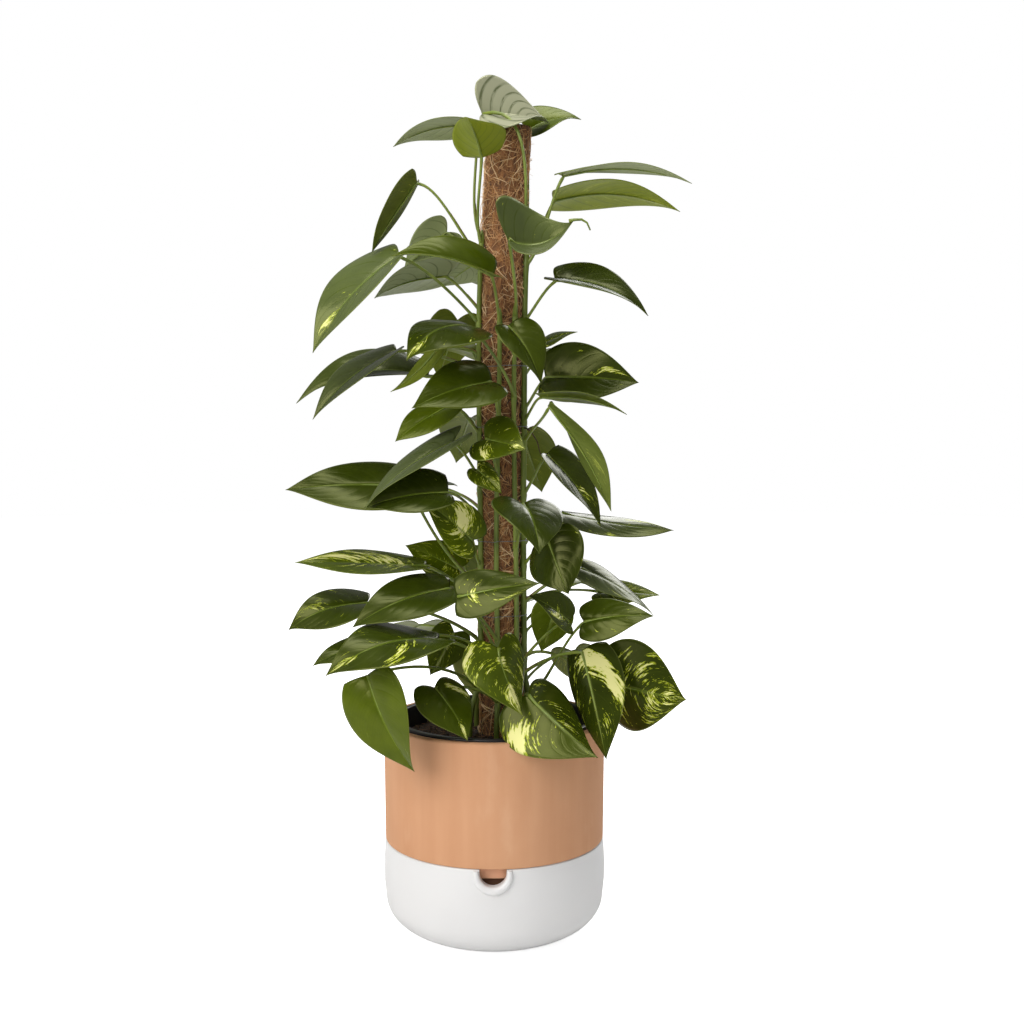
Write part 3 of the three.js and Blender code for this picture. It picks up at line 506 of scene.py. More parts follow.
def poleSpot(angle, height, radius):
    return Vector((poleX(height) + radius * math.cos(angle), radius * math.sin(angle), height))


# The sleeve is a sheet rolled round the stake. Both ends turn in to the bore.
def makePole(material):
    p = poleForm
    bm = bmesh.new()
    bmesh.ops.create_grid(bm, x_segments=p["around"], y_segments=p["rows"], size=1)
    for vert in bm.verts:
        angle = math.pi * (vert.co.x + 1)
        height = p["bottom"] + (p["top"] - p["bottom"]) * (vert.co.y + 1) / 2
        around = p["lumpAround"]
        spot = Vector((math.cos(angle) * around, math.sin(angle) * around, height * p["lumpUp"]))
        lump = sum(noise.noise(spot * fine) * size for fine, size in p["lumps"])
        vert.co = poleSpot(angle, height, p["radius"] - p["inset"] + lump * p["lumpSize"]) * mm
    bmesh.ops.remove_doubles(bm, verts=bm.verts, dist=1e-6)
    for height, way in ((p["top"], 1), (p["bottom"], -1)):
        rim = [e for e in bm.edges if e.is_boundary and abs(e.verts[0].co.z - height * mm) < 1e-4]
        for wider, rise in p["endRings"]:
            ring, rim, _ = extrudeRing(bm, rim)
            for vert in ring:
                angle = math.atan2(vert.co.y, vert.co.x - poleX(height) * mm)
                lift = way * rise * (0.4 + noise.noise(vert.co * p["endNoise"]))
                vert.co = poleSpot(angle, height + lift, p["boreRadius"] + wider) * mm
        for vert in extrudeRing(bm, rim)[0]:
            vert.co.z -= way * p["boreDepth"] * mm
    bmesh.ops.recalc_face_normals(bm, faces=bm.faces)
    newPiece("poleCoir", bm, [material], ["pole_coir"])


def strandOnPole(draw, length, lift):
    c = coirForm
    height = draw.uniform(c["from"], poleForm["top"] - c["below"])
    angle = draw.uniform(*wholeTurn)
    slope = draw.gauss(0, c["slopes"])
    bend = draw.uniform(-c["bends"], c["bends"])
    points = []
    for i in range(c["points"]):
        t = i / (c["points"] - 1)
        along = length * (t - 0.5)
        rise = lift * (0.25 + math.sin(math.pi * t) * draw.uniform(0.5, 1))
        here = height + along * math.cos(slope)
        if poleForm["bottom"] < here < poleForm["top"] + c["past"]:
            turn = along * math.sin(slope + bend * t) / poleForm["radius"]
            points.append(poleSpot(angle + turn, here, poleForm["radius"] - c["sunk"] + rise))
    return points


def makeCoirFibres(dark, mid, pale):
    draw = random.Random(5)
    for (name, layer), material in zip(coirForm["layers"].items(), (dark, mid, pale, pale)):
        count, lengths, lift, radii = layer
        strands = []
        for i in range(count):
            points = strandOnPole(draw, draw.uniform(*lengths), lift)
            if len(points) > 2:
                strands.append((points, draw.uniform(*radii)))
        strandPiece(name, strands, material)
    s = sprayForm
    strands = []
    for i in range(s["count"]):
        height = draw.uniform(s["from"], poleForm["top"] - s["below"])
        angle = draw.uniform(*wholeTurn)
        length, rise, turn = (draw.uniform(*s[name]) for name in ("lengths", "rises", "turns"))
        points = []
        for t in s["steps"]:
            here = min(height + rise * t, s["limit"])
            points.append(poleSpot(angle + turn * t, here, s["root"] + length * t ** s["curl"]))
        strands.append((points, draw.uniform(*s["radii"])))
    strandPiece("coirSprays", strands, mid)


# Stems. Angles run round the pole from the front, to the right.

vineForm = {"radius": 2.8, "holeDepth": 38, "spread": 36, "straightTop": 207, "meetsPole": 262,
            "poleGap": 0.5, "sway": 4, "swayLength": 70, "step": 5, "sides": 12, "taper": 0.2,
            "swelling": 0.28, "swellingSpan": 3.5, "tipLength": 5, "tipRadius": 0.3}
stubForm = {"apart": 1.6, "sunk": 0.8, "drops": (3, 9), "reaches": (2, 6), "inward": 2.4, "bulge": 1.2,
            "radii": [0.75, 0.55, 0.25], "sides": 6}
vines = {
    "left": dict(angle=-60, top=688, girth=1.05),
    "front_left": dict(angle=-7, top=612, girth=1),
    "front_right": dict(angle=35, top=617, girth=1),
    "right": dict(angle=68, top=682, girth=1.2),
    "back_right": dict(angle=135, top=694, girth=1),
    "back_left": dict(angle=-135, top=692, girth=1),
}
hangingRoots = {"right": [(29, -11, 502), (33, -16, 501), (37, -22, 497), (42, -27, 489), (46, -30, 474)]}


def outward(degrees):
    angle = math.radians(degrees)
    return Vector((math.sin(angle), -math.cos(angle), 0))


def vinePoint(vine, height):
    v = vineForm
    hugging = poleForm["radius"] + v["poleGap"] + v["radius"]
    t = min(max((height - v["straightTop"]) / (v["meetsPole"] - v["straightTop"]), 0), 1)
    spread = t * t * (3 - 2 * t)
    distance = v["spread"] + (hugging - v["spread"]) * spread
    sway = v["sway"] * spread * math.sin(height / v["swayLength"] + vine["angle"])
    return outward(vine["angle"] + sway) * distance + Vector((poleX(height), 0, height))


def vineNodes(name):
    return sorted({leaf["node"] for leaf in [*namedLeaves.values(), *joinedLeaves] if leaf["vine"] == name})


# Two dry root stubs at a joint of the stem.
def addStubs(bm, vine, node, draw):
    s = stubForm
    around = vinePoint(vine, node)
    inward = Vector((poleX(node), 0, node)) - around
    inward.z = 0
    inward.normalize()
    for side in (-1, 1):
        along = inward.cross(Vector((0, 0, side)))
        start = around + along * s["apart"] + inward * s["sunk"]
        drop = draw.uniform(*s["drops"])
        tip = start + along * draw.uniform(*s["reaches"]) + inward * s["inward"] - Vector((0, 0, drop))
        middle = (start + tip) / 2 + along * s["bulge"]
        sweepTube(bm, [start, middle, tip], s["radii"], s["sides"], 1)


def makeStem(name, vine, materials):
    v = vineForm
    nodes = vineNodes(name)
    bottom = soilForm["topHeight"] - v["holeDepth"]
    rise = vine["top"] - bottom
    count = int(rise / v["step"])
    points, radii = [], []
    for i in range(count + 1):
        height = bottom + rise * i / count
        points.append(vinePoint(vine, height))
        swelling = sum(math.exp(-((height - node) / v["swellingSpan"]) ** 2) for node in nodes)
        slender = 1.0 - v["taper"] * (height - bottom) / rise
        radii.append(v["radius"] * (slender * vine["girth"] + v["swelling"] * min(swelling, 1)))
    points.append(points[-1] + Vector((0, 0, v["tipLength"])))
    radii.append(v["radius"] * v["tipRadius"])
    bm = bmesh.new()
    sweepTube(bm, points, radii, v["sides"])
    draw = random.Random(sum(map(ord, name)))
    for node in nodes:
        addStubs(bm, vine, node, draw)
    if name in hangingRoots:
        root = [Vector(point) for point in hangingRoots[name]]
        sweepTube(bm, root, tapered(0.95, 0.6, len(root)), 6, 1)
    newPiece("stem_" + name, bm, materials, ["vine_" + name])


# Leaves. A leaf grows from the height node on its vine. Its blade is a grid bent to the shape of its solid,
# from base to tip, width across, with its top towards face. fold raises both halves and twist turns the
# blade along its length, in degrees. arch and hook bend it, lobe draws its base back, bow and via bend the
# stalk, and tail is a dry thread at the tip. gold is how much yellow the leaf carries, and tone how
# bright its green is, partly its own shade of green and partly painted glow of light shining through it.
# bloom and pallor are how much painted sheen, a milky painted highlight, lies on its top and
# its underside. marks are patches of yellow and cream: (across, along, size across, size along, strength),
# where across runs -1 to 1 and along 0 to 1.

bladeForm = {"thickness": 0.5, "lobe": 0.13, "lobeTurn": 0.7, "lobePower": 3, "sweep": 0.25, "arch": 2,
             "baseWidth": 0.08, "shoulderPower": 0.48, "tipPower": 1.3, "columns": 26, "rows": 44, "veins": 8,
             "veinBend": (0.2, 0.15), "veinSlope": (0.35, 1.1), "groove": 0.75, "grooveWidth": 1.8,
             "quilt": 0.1, "dome": 1.0, "edgeWave": 1.2, "edgeWaves": 6.5, "slowWave": 1.2,
             "goldShift": -0.35, "goldShare": 1.6, "golds": (0.1, 0.32), "tones": (0.2, 0.6)}
stalkForm = {"radius": 1.45, "rootRadius": 2.1, "rootSpan": 0.12, "neckRadius": 1.75, "neckAt": 0.93,
             "neckSpan": 0.07, "leaving": 0.2, "arriving": 0.66, "bow": 0.12, "reach": 1.5, "steps": 16,
             "sides": 8, "ribStart": 0.03, "ribEnd": 0.8, "ribSteps": 9, "ribRadius": 1.15, "ribTip": 0.12,
             "ribSunk": 0.25, "sheathShare": 0.5, "sheathEnd": 0.55, "sheathLift": 0.9, "sheathRadius": 0.75,
             "sheathTip": 0.15}


def leafAt(vine, node, base, tip, width, face, **more):
    return dict(vine=vine, node=node, base=base, tip=tip, width=width, face=face, **more)


leaves = {
    "top": [
        leafAt("right", 672, (-11, -8, 805), (54, 20, 801), 81, (-8.6, -9, 6.4), fold=24, twist=43, arch=4,
               hook=-2, lobe=0.12, via=(46, -42, 812), tone=0.3, bloom=0.9, pallor=0.6, gold=0.1),
        leafAt("back_right", 685, (33, 32, 798), (87, 39, 811), 47, (-1, -7.7, 9), fold=16, twist=18, arch=6,
               hook=1, lobe=0.07, tone=0.5, gold=0.05),
        leafAt("back_left", 683, (-16, 16, 798), (-100, 23, 778), 57, (2.7, 1.6, 9), fold=-3, twist=-16,
               arch=10, hook=-2, lobe=0.02, tone=0.55, pallor=0.5, gold=0.1,
               marks=[(-0.03, 0.9, 0.48, 0.12, 0.57)]),
        leafAt("left", 680, (-11, -31, 759), (-23, -87, 784), 56, (1.6, 4.5, 9), fold=24, twist=32, arch=4,
               lobe=0.09, tone=1, gold=0.15),
        leafAt("left", 664, (-74, -22, 737), (-118, -33, 670), 45, (-5.7, 4.5, 9), fold=14, twist=-22, arch=1,
               hook=2, lobe=0.08, bow=26, tone=0.3, gold=0.2, marks=[(-0.77, 0.32, 0.2, 0.042, 0.34)]),
        leafAt("left", 604, (-89, -44, 665), (-167, -75, 571), 77, (-6.2, -9, 9), fold=13, twist=28, arch=11,
               hook=-1, lobe=0.08, tone=0.35, bloom=0.12, gold=0.12, marks=[(0.15, 0.73, 0.48, 0.108, 0.86),
               (0.27, 0.54, 0.3, 0.066, 0.4)]),
        leafAt("back_left", 612, (-48, 24, 653), (-117, -9, 628), 59, (3.3, 6.6, 9), fold=8, twist=-10,
               arch=7, lobe=0.17, tone=0.6, pallor=0.76, gold=0.1),
        leafAt("front_left", 603, (0, -60, 644), (-92, -92, 658), 59, (9, -4.1, 8.8), fold=25, twist=-6,
               arch=10, hook=-1, lobe=0.04, tone=0.42, gold=0.05),
        leafAt("front_right", 609, (14, -68, 677), (75, -52, 692), 91, (-6.6, -9, 6.6), fold=32, twist=34,
               arch=-13, hook=-5, lobe=0.07,
               tail=[(-4, 0, 0), (2, 0, 1), (8, -1, 1), (13, -1, -2), (16, -2, -9)], tone=0.3, bloom=0.12,
               gold=0.1),
        leafAt("right", 660, (67, -8, 746), (188, -40, 732), 62, (4.9, -1.2, 9), fold=2, twist=18, arch=11,
               hook=-1, lobe=0.03, tone=0.6, pallor=0.5, gold=0.1),
        leafAt("back_right", 650, (59, 30, 728), (186, 31, 715), 61, (-2.1, 3.2, 9), fold=1, twist=3, arch=15,
               hook=-3, lobe=0.02, tone=0.95, gold=0.22, marks=[(-0.1, 0.74, 0.48, 0.12, 0.69),
               (0.31, 0.26, 0.22, 0.048, 0.37)]),
        leafAt("right", 606, (59, -34, 643), (146, -51, 606), 60, (2.7, -5.4, 9), fold=14, twist=-1, arch=13,
               hook=-2, lobe=0.08, tone=0.12, gold=0.05),
    ],
    "mid": [
        leafAt("front_right", 531, (-21, -56, 598), (-79, -91, 562), 83, (-3.8, -8, 9), fold=-7, twist=12,
               arch=15, hook=-2, lobe=0.03, tone=0.2, gold=0.12, marks=[(0.21, 0.87, 0.48, 0.12, 0.63),
               (-0.33, 0.78, 0.42, 0.102, 0.4), (-0.84, 0.3, 0.12, 0.036, 0.46)]),
        leafAt("left", 551, (-94, -22, 577), (-172, -50, 510), 53, (-3.5, -5.4, 9), fold=10, twist=20, arch=9,
               lobe=0.04, tone=0.15, bloom=0.08, gold=0.05),
        leafAt("back_left", 537, (-66, 18, 553), (-197, 7, 527), 78, (3.2, -3.8, 9), fold=16, twist=14,
               arch=19, hook=1, lobe=0.03, tone=0.15, bloom=0.03, gold=0.05),
        leafAt("front_left", 512, (-1, -60, 546), (-74, -98, 521), 63, (1.7, -9, 7.8), fold=7, twist=8,
               arch=6, hook=1, lobe=0.05, tone=0.3, gold=0.02),
        leafAt("left", 496, (-40, -44, 525), (-93, -61, 490), 48, (-2.5, -9, 8.2), twist=38, arch=3, hook=1,
               lobe=0.13, tone=0.5, gold=0.05),
        leafAt("front_right", 578, (14, -64, 598), (44, -79, 542), 46, (5.3, -9, 3.4), fold=16, twist=13,
               arch=8, hook=-2, lobe=0.03, tone=0.25, gold=0.05),
        leafAt("right", 520, (50, -18, 551), (140, -31, 545), 76, (-9, -8.1, 5.8), fold=14, twist=-26, arch=5,
               hook=-1, lobe=0.04, tone=0.12, gold=0.12, marks=[(-0.59, 0.15, 0.11, 0.03, 0.46),
               (-0.76, 0.33, 0.1, 0.03, 0.46), (-0.38, 0.64, 0.3, 0.078, 0.57),
               (-0.66, 0.86, 0.31, 0.102, 0.57)]),
        leafAt("right", 488, (51, -103, 523), (110, -105, 427), 46, (9, 7.2, 7.3), fold=14, twist=66, arch=6,
               hook=2, lobe=0.02, bow=-6, tone=0.12, gold=0.15, marks=[(0.42, 0.58, 0.48, 0.12, 0.46)]),
        leafAt("right", 436, (51, -38, 477), (103, -49, 407), 52, (9, -7.1, 4.7), fold=15, twist=-4, arch=6,
               lobe=0.02, tone=0.18, gold=0.12, marks=[(-0.13, 0.56, 0.48, 0.114, 0.75)]),
        leafAt("front_left", 459, (-8, -54, 492), (30, -80, 483), 55, (-2.1, -9, 6.2), fold=8, twist=-2,
               arch=1, hook=1, lobe=0.15, tone=0.45, gold=0.24, marks=[(0.69, 0.27, 0.26, 0.084, 0.82),
               (-0.06, 0.8, 0.48, 0.102, 0.74)]),
        leafAt("left", 453, (-38, -66, 489), (-118, -97, 428), 40, (-5.3, -5.1, 9), fold=6, twist=-21, arch=8,
               lobe=0.17, tone=0.2, bloom=0.15, gold=0.05),
        leafAt("left", 342, (-79, -44, 446), (-198, -54, 444), 68, (3.6, -9, 8.6), fold=-1, twist=25, arch=5,
               hook=1, lobe=0.08, bow=-22, tone=0.2, gold=0.05),
        leafAt("left", 411, (-42, -74, 442), (-119, -90, 429), 56, (-1.8, -9, 6.3), fold=12, twist=27, arch=7,
               hook=1, lobe=0.03, tone=0.1, gold=0.03),
        leafAt("left", 366, (-20, -54, 395), (-66, -72, 434), 52, (3, -8, 4), fold=10, arch=4, tone=0.55,
               gold=0.32, marks=[(0.18, 0.3, 0.58, 0.13, 0.93), (0.97, 0.45, 0.12, 0.029, 0.54)]),
        leafAt("front_right", 384, (28, -66, 431), (43, -125, 391), 69, (3.9, -7.6, 9), twist=3, arch=7,
               hook=2, lobe=0.12, tone=0.15, gold=0.05),
        leafAt("right", 400, (69, -10, 418), (175, -29, 401), 53, (0.5, -4.5, 9), fold=-8, twist=-38, arch=-2,
               hook=-2, lobe=0.04, tone=0.2, gold=0.18, marks=[(-0.79, 0.66, 0.22, 0.066, 0.57)]),
        leafAt("right", 366, (52, -52, 395), (69, -83, 348), 67, (-4.5, -9, 3.2), fold=-11, twist=35, arch=1,
               hook=4, lobe=0.11, tone=0.15, gold=0.15),
        leafAt("right", 508, (45, -68, 531), (122, -98, 512), 32, (4.3, 2, 9), fold=3, twist=13, arch=8,
               hook=-3, lobe=0.05, tone=0.25, gold=0.15),
    ],
    "low": [
        leafAt("left", 328, (-67, -38, 369), (-189, -57, 376), 60, (3.1, -3.4, 9), fold=4, twist=31, arch=1,
               hook=2, lobe=0.03, tone=0.45, gold=0.33, marks=[(0.51, 0.65, 0.34, 0.102, 0.57),
               (0.29, 0.3, 0.48, 0.096, 0.69)]),
        leafAt("front_left", 292, (-41, -68, 351), (-130, -102, 320), 66, (-0.6, -7.3, 9), fold=2, twist=29,
               arch=9, hook=2, lobe=0.06, tone=0.2, gold=0.05),
        leafAt("front_left", 277, (-33, -107, 348), (43, -126, 363), 48, (-0.1, -9, 7.3), fold=-5, twist=27,
               arch=3, lobe=0.03, tone=0.15, gold=0.2, marks=[(0.06, 0.2, 0.42, 0.048, 0.69),
               (0.66, 0.59, 0.26, 0.072, 0.34)]),
        leafAt("left", 290, (-123, -40, 333), (-198, -51, 310), 59, (3.8, -6.7, 9), fold=1, twist=57, arch=10,
               hook=3, lobe=0.07, tone=0.2, gold=0.18, marks=[(0.42, 0.63, 0.41, 0.09, 0.57)]),
        leafAt("front_left", 260, (-51, -94, 306), (-150, -137, 282), 83, (-2.2, -6.3, 9), fold=1, twist=52,
               arch=15, hook=2, lobe=0.07, tone=0.2, gold=0.18, marks=[(-0.1, 0.86, 0.48, 0.12, 0.68),
               (-0.74, 0.44, 0.24, 0.09, 0.48), (-0.27, 0.32, 0.29, 0.072, 0.48)]),
        leafAt("left", 244, (-115, -114, 277), (-71, -121, 189), 67, (-7.1, -9, 4), fold=9, twist=-20, arch=9,
               hook=-1, lobe=0.02, tone=0.55, gold=0.02),
        leafAt("front_left", 232, (-55, -86, 260), (-23, -109, 215), 56, (5, -9, 2.9), fold=-6, twist=-25,
               arch=6, hook=1, lobe=0.11, tone=0.4, gold=0.12, marks=[(-0.7, 0.21, 0.32, 0.065, 1.03),
               (-0.02, 0.83, 0.58, 0.144, 0.95)]),
        leafAt("front_right", 242, (5, -106, 301), (29, -132, 244), 73, (9, -8.2, 4.1), fold=-17, twist=37,
               arch=-4, hook=2, lobe=0.19, tone=0.45, gold=0.34, marks=[(0.84, 0.1, 0.17, 0.05, 0.69),
               (-0.02, 0.18, 0.16, 0.05, 0.57), (-0.03, 0.67, 0.58, 0.144, 0.69)]),
        leafAt("front_right", 226, (33, -98, 255), (95, -139, 206), 91, (5.3, -9, 6.3), fold=-31, twist=30,
               arch=-2, hook=-1, lobe=0.13, tone=0.25, gold=0.25, marks=[(0.83, 0.25, 0.2, 0.059, 1.1),
               (0.54, 0.24, 0.26, 0.079, 0.55), (-0.44, 0.54, 0.51, 0.125, 0.2)]),
        leafAt("front_right", 253, (84, -62, 290), (105, -101, 194), 70, (-3.5, -9, -0.3), fold=-35, twist=4,
               arch=-2, hook=1, lobe=0.05, tone=0.15, gold=0.2, marks=[(-0.1, 0.08, 0.53, 0.065, 1.08),
               (-0.6, 0.29, 0.45, 0.105, 0.93), (-0.37, 0.59, 0.51, 0.13, 0.25),
               (0.81, 0.4, 0.26, 0.065, 0.3)]),
        leafAt("right", 274, (112, -26, 252), (185, -53, 240), 99, (-6.4, -9, 0.9), fold=-9, twist=60, arch=4,
               hook=4, lobe=0.09, tone=0.2, gold=0.35, marks=[(0.26, 0.68, 0.48, 0.12, 0.24),
               (-0.53, 0.41, 0.22, 0.066, 0.28), (-0.13, 0.85, 0.48, 0.12, 0.2)]),
        leafAt("right", 232, (86, -62, 318), (150, -83, 328), 45, (-5.3, -9, 7.2), fold=-7, twist=13, arch=5,
               hook=3, lobe=0.07, tone=0.25, gold=0.16),
        leafAt("right", 328, (86, -24, 365), (156, -36, 321), 44, (9, -4.1, 5.5), fold=-6, twist=24, arch=5,
               hook=1, lobe=0.07, tone=0.15, bloom=0.15, gold=0.24),
        leafAt("front_right", 264, (71, -86, 322), (34, -107, 350), 43, (2.7, -8, 9), fold=12, twist=-15,
               arch=3, hook=2, lobe=0.06, tone=0.2, gold=0.18, marks=[(-0.41, 0.37, 0.48, 0.12, 0.57)]),
    ],
}
namedLeaves = {f"{storey}_{number:02d}": leaf for storey, group in leaves.items()
               for number, leaf in enumerate(group, 1)}

# Leaves that are one solid with their stem.
joinedLeaves = [
    leafAt("back_left", 657, (-47, 26, 697), (-92, 44, 663), 46, (0, 8, 4), pallor=0.6, tone=0.7, gold=0.0),
    leafAt("back_left", 635, (-17, 38, 669), (-53, 74, 648), 44, (0, 7, 6), pallor=0.75, tone=0.7, gold=0.0),
    leafAt("left", 572, (-52, -34, 578), (-98, -46, 536), 26, (7, 2, 6), arch=4),
    leafAt("back_left", 566, (-18, 34, 578), (-67, 68, 586), 40, (0, 5, 8)),
    leafAt("right", 566, (47, 6, 584), (82, -4, 596), 30, (0, -4, 9)),
    leafAt("left", 441, (-16, -44, 463), (8, -60, 440), 26, (-1, -8, 5), tone=0.5, gold=0.34),
    leafAt("back_left", 340, (-36, -2, 362), (-88, -8, 386), 44, (0, -9, 4), arch=3, tone=0.65, gold=0.32),
    leafAt("left", 282, (-122, -62, 295), (-170, -80, 279), 34, (0, -5, 8), arch=4),
    leafAt("back_left", 262, (-40, -2, 298), (-64, -10, 256), 42, (0, -9, 4)),
    leafAt("back_right", 320, (105, -6, 339), (164, -14, 337), 38, (0, -5, 8)),
    leafAt("right", 298, (60, -24, 326), (46, -34, 284), 42, (0, -9, 3)),
    leafAt("back_right", 676, (12, 50, 748), (18, 112, 700), 44, (1, 3, 3)),
    leafAt("back_left", 622, (-2, 66, 660), (-10, 150, 650), 50, (-1, 1, 5), arch=6),
    leafAt("back_left", 552, (-38, 50, 612), (-60, 96, 552), 58, (-1, 4, 3)),
    leafAt("back_right", 545, (50, 60, 578), (96, 126, 566), 56, (0, 1, 4), arch=8),
    leafAt("back_left", 478, (-26, 76, 512), (-44, 146, 462), 60, (0, 3, 3), arch=6),
    leafAt("back_right", 450, (28, 52, 494), (50, 108, 432), 62, (1, 4, 2)),
    leafAt("back_left", 415, (-62, 60, 440), (-120, 128, 430), 60, (-1, 1, 4), arch=9),
    leafAt("back_right", 370, (50, 74, 402), (72, 148, 348), 64, (1, 3, 4), arch=6),
    leafAt("back_left", 302, (-36, 60, 372), (-56, 126, 308), 62, (-1, 4, 3)),
    leafAt("back_right", 296, (84, 56, 340), (136, 124, 322), 58, (1, 1, 4), arch=9),
    leafAt("back_left", 268, (-80, 84, 292), (-112, 158, 248), 62, (-1, 3, 4), arch=6),
    leafAt("back_right", 258, (10, 88, 316), (12, 172, 296), 64, (0, 1, 4), arch=9),
    leafAt("back_right", 238, (84, 92, 262), (118, 146, 204), 60, (1, 4, 2)),
    leafAt("back_left", 234, (-16, 100, 262), (-22, 150, 196), 60, (0, 4, 2)),
]


def widthShape(along):
    b = bladeForm
    return (along + b["baseWidth"]) ** b["shoulderPower"] * max(1 - along, 0) ** b["tipPower"]


widestAlong = ((bladeForm["shoulderPower"] - bladeForm["tipPower"] * bladeForm["baseWidth"])
               / (bladeForm["shoulderPower"] + bladeForm["tipPower"]))
widestShape = widthShape(widestAlong)


def bladePlace(leaf):
    base = Vector(leaf["base"])
    axis = Vector(leaf["tip"]) - base
    length = axis.length
    axis.normalize()
    normal = Vector(leaf["face"])
    normal = (normal - axis * normal.dot(axis)).normalized()
    return base, axis, length, normal, axis.cross(normal)


def veinShift(side, along):
    near, far = bladeForm["veinBend"]
    level, slope = bladeForm["veinSlope"]
    return (near * side + far * side ** 2) * (level + slope * along)


def relief(leaf, across, along, half):
    b = bladeForm
    side = abs(across)
    seed = leaf["seed"]
    groove = -b["groove"] * math.exp(-(side * half / b["grooveWidth"]) ** 2) * (1 - along) ** 0.6
    fade = min(1, side * half / 4) * (1 - side ** 4) * (1 - along ** 3)
    quilt = -b["quilt"] * math.cos(2 * math.pi * b["veins"] * (along - veinShift(side, along))) * fade
    dome = b["dome"] * math.sin(math.pi * side) * (1 - along)
    wave = b["edgeWave"] * side ** 2 * (1 - along ** 2)
    wave *= math.sin(b["edgeWaves"] * along + seed * 3 + (1.9 if across > 0 else 0))
    spot = Vector((across * 0.9, along * 2.1, seed * 5))
    slow = b["slowWave"] * noise.noise(spot) * side * (1 - along ** 4)
    return groove + quilt + dome + wave + slow


def bladePoint(leaf, place, across, along):
    b = bladeForm
    base, axis, length, normal, sideways = place
    side = abs(across)
    half = leaf["width"] / 2 * widthShape(along) / widestShape
    foldAngle = math.radians(leaf.get("fold", 0))
    turn = math.radians(leaf.get("twist", 0)) * (along - 0.5)
    lobes = leaf.get("lobe", b["lobe"]) * math.sin(b["lobeTurn"] * math.pi * side)
    forward = along + b["sweep"] * side * along * (1 - along) - lobes * (1 - along) ** b["lobePower"]
    offset = across * half * math.cos(foldAngle)
    lift = side * half * math.sin(foldAngle)
    rise = 4 * leaf.get("arch", b["arch"]) * along * (1 - along) - leaf.get("hook", 0) * along ** 3
    rise += relief(leaf, across, along, half)
    return (base + axis * length * forward
            + sideways * (offset * math.cos(turn) - lift * math.sin(turn))
            + normal * (offset * math.sin(turn) + lift * math.cos(turn) + rise))


def goldAt(leaf, across, along):
    vein = along - veinShift(abs(across), along)
    amount = bladeForm["goldShift"] + bladeForm["goldShare"] * leaf["gold"]
    for markAcross, markAlong, wide, long, strength in leaf.get("marks", ()):
        markVein = markAlong - veinShift(abs(markAcross), markAlong)
        distance = ((across - markAcross) / wide) ** 2 + ((vein - markVein) / long) ** 2
        amount += strength * math.exp(-distance)
    return min(amount, 1.0)


# The look holds gold, whether the vertex is on the underside, the leaf's seed and its tone, which is partly
# its own shade of green and partly painted glow of light through the leaf.
def addBlade(bm, leaf):
    b = bladeForm
    place = bladePlace(leaf)
    layers = bm.verts.layers
    look = layers.float_color.get("leafLook") or layers.float_color.new("leafLook")
    pallor = layers.float.get("leafPaintedSheen") or layers.float.new("leafPaintedSheen")
    uvLayer = bm.loops.layers.uv.get("UVMap") or bm.loops.layers.uv.new("UVMap")
    verts = bmesh.ops.create_grid(bm, x_segments=b["columns"], y_segments=b["rows"], size=1)["verts"]
    faces = list({face for vert in verts for face in vert.link_faces})
    for face in faces:
        for loop in face.loops:
            loop[uvLayer].uv = ((loop.vert.co.x + 1) / 2, (loop.vert.co.y + 1) / 2)
    for vert in verts:
        across, along = vert.co.x, (vert.co.y + 1) / 2
        vert[look] = (goldAt(leaf, across, along), 0, leaf["seed"], leaf["tone"])
        # The top carries its amount of painted sheen, a milky painted highlight; the underside gets its own
        # amount below.
        vert[pallor] = leaf.get("bloom", 0)
        vert.co = bladePoint(leaf, place, across, along) * mm
    bmesh.ops.remove_doubles(bm, verts=verts, dist=1e-6)
    faces = [face for face in faces if face.is_valid]
    for face in faces:
        face.normal_update()
    if sum(face.normal.dot(place[3]) for face in faces) < 0:
        bmesh.ops.reverse_faces(bm, faces=faces)
    for vert in vertsIn(bmesh.ops.solidify(bm, geom=faces, thickness=b["thickness"] * mm)["geom"]):
        gold, _, seed, tone = vert[look]
        vert[look] = (gold, 1, seed, tone)
        vert[pallor] = leaf.get("pallor", 0)


def stalkPoints(leaf):
    s = stalkForm
    vine = vines[leaf["vine"]]
    base, axis = bladePlace(leaf)[:2]
    node = vinePoint(vine, leaf["node"])
    flat = base - node
    flat.z = 0
    leaving = (flat.normalized() + outward(vine["angle"])).normalized()
    span = (base - node).length
    second = node + leaving * s["leaving"] * span + Vector((0, 0, s["leaving"] * span))
    third = node.lerp(base, s["arriving"]) + Vector((0, 0, leaf.get("bow", s["bow"] * span)))
    if "via" in leaf:
        third = Vector(leaf["via"])
    end = base + axis * s["reach"]
    points = []
    for i in range(s["steps"] + 1):
        t = i / s["steps"]
        back = 1 - t
        points.append(node * back ** 3 + second * 3 * t * back ** 2 + third * 3 * t * t * back + end * t ** 3)
    return points


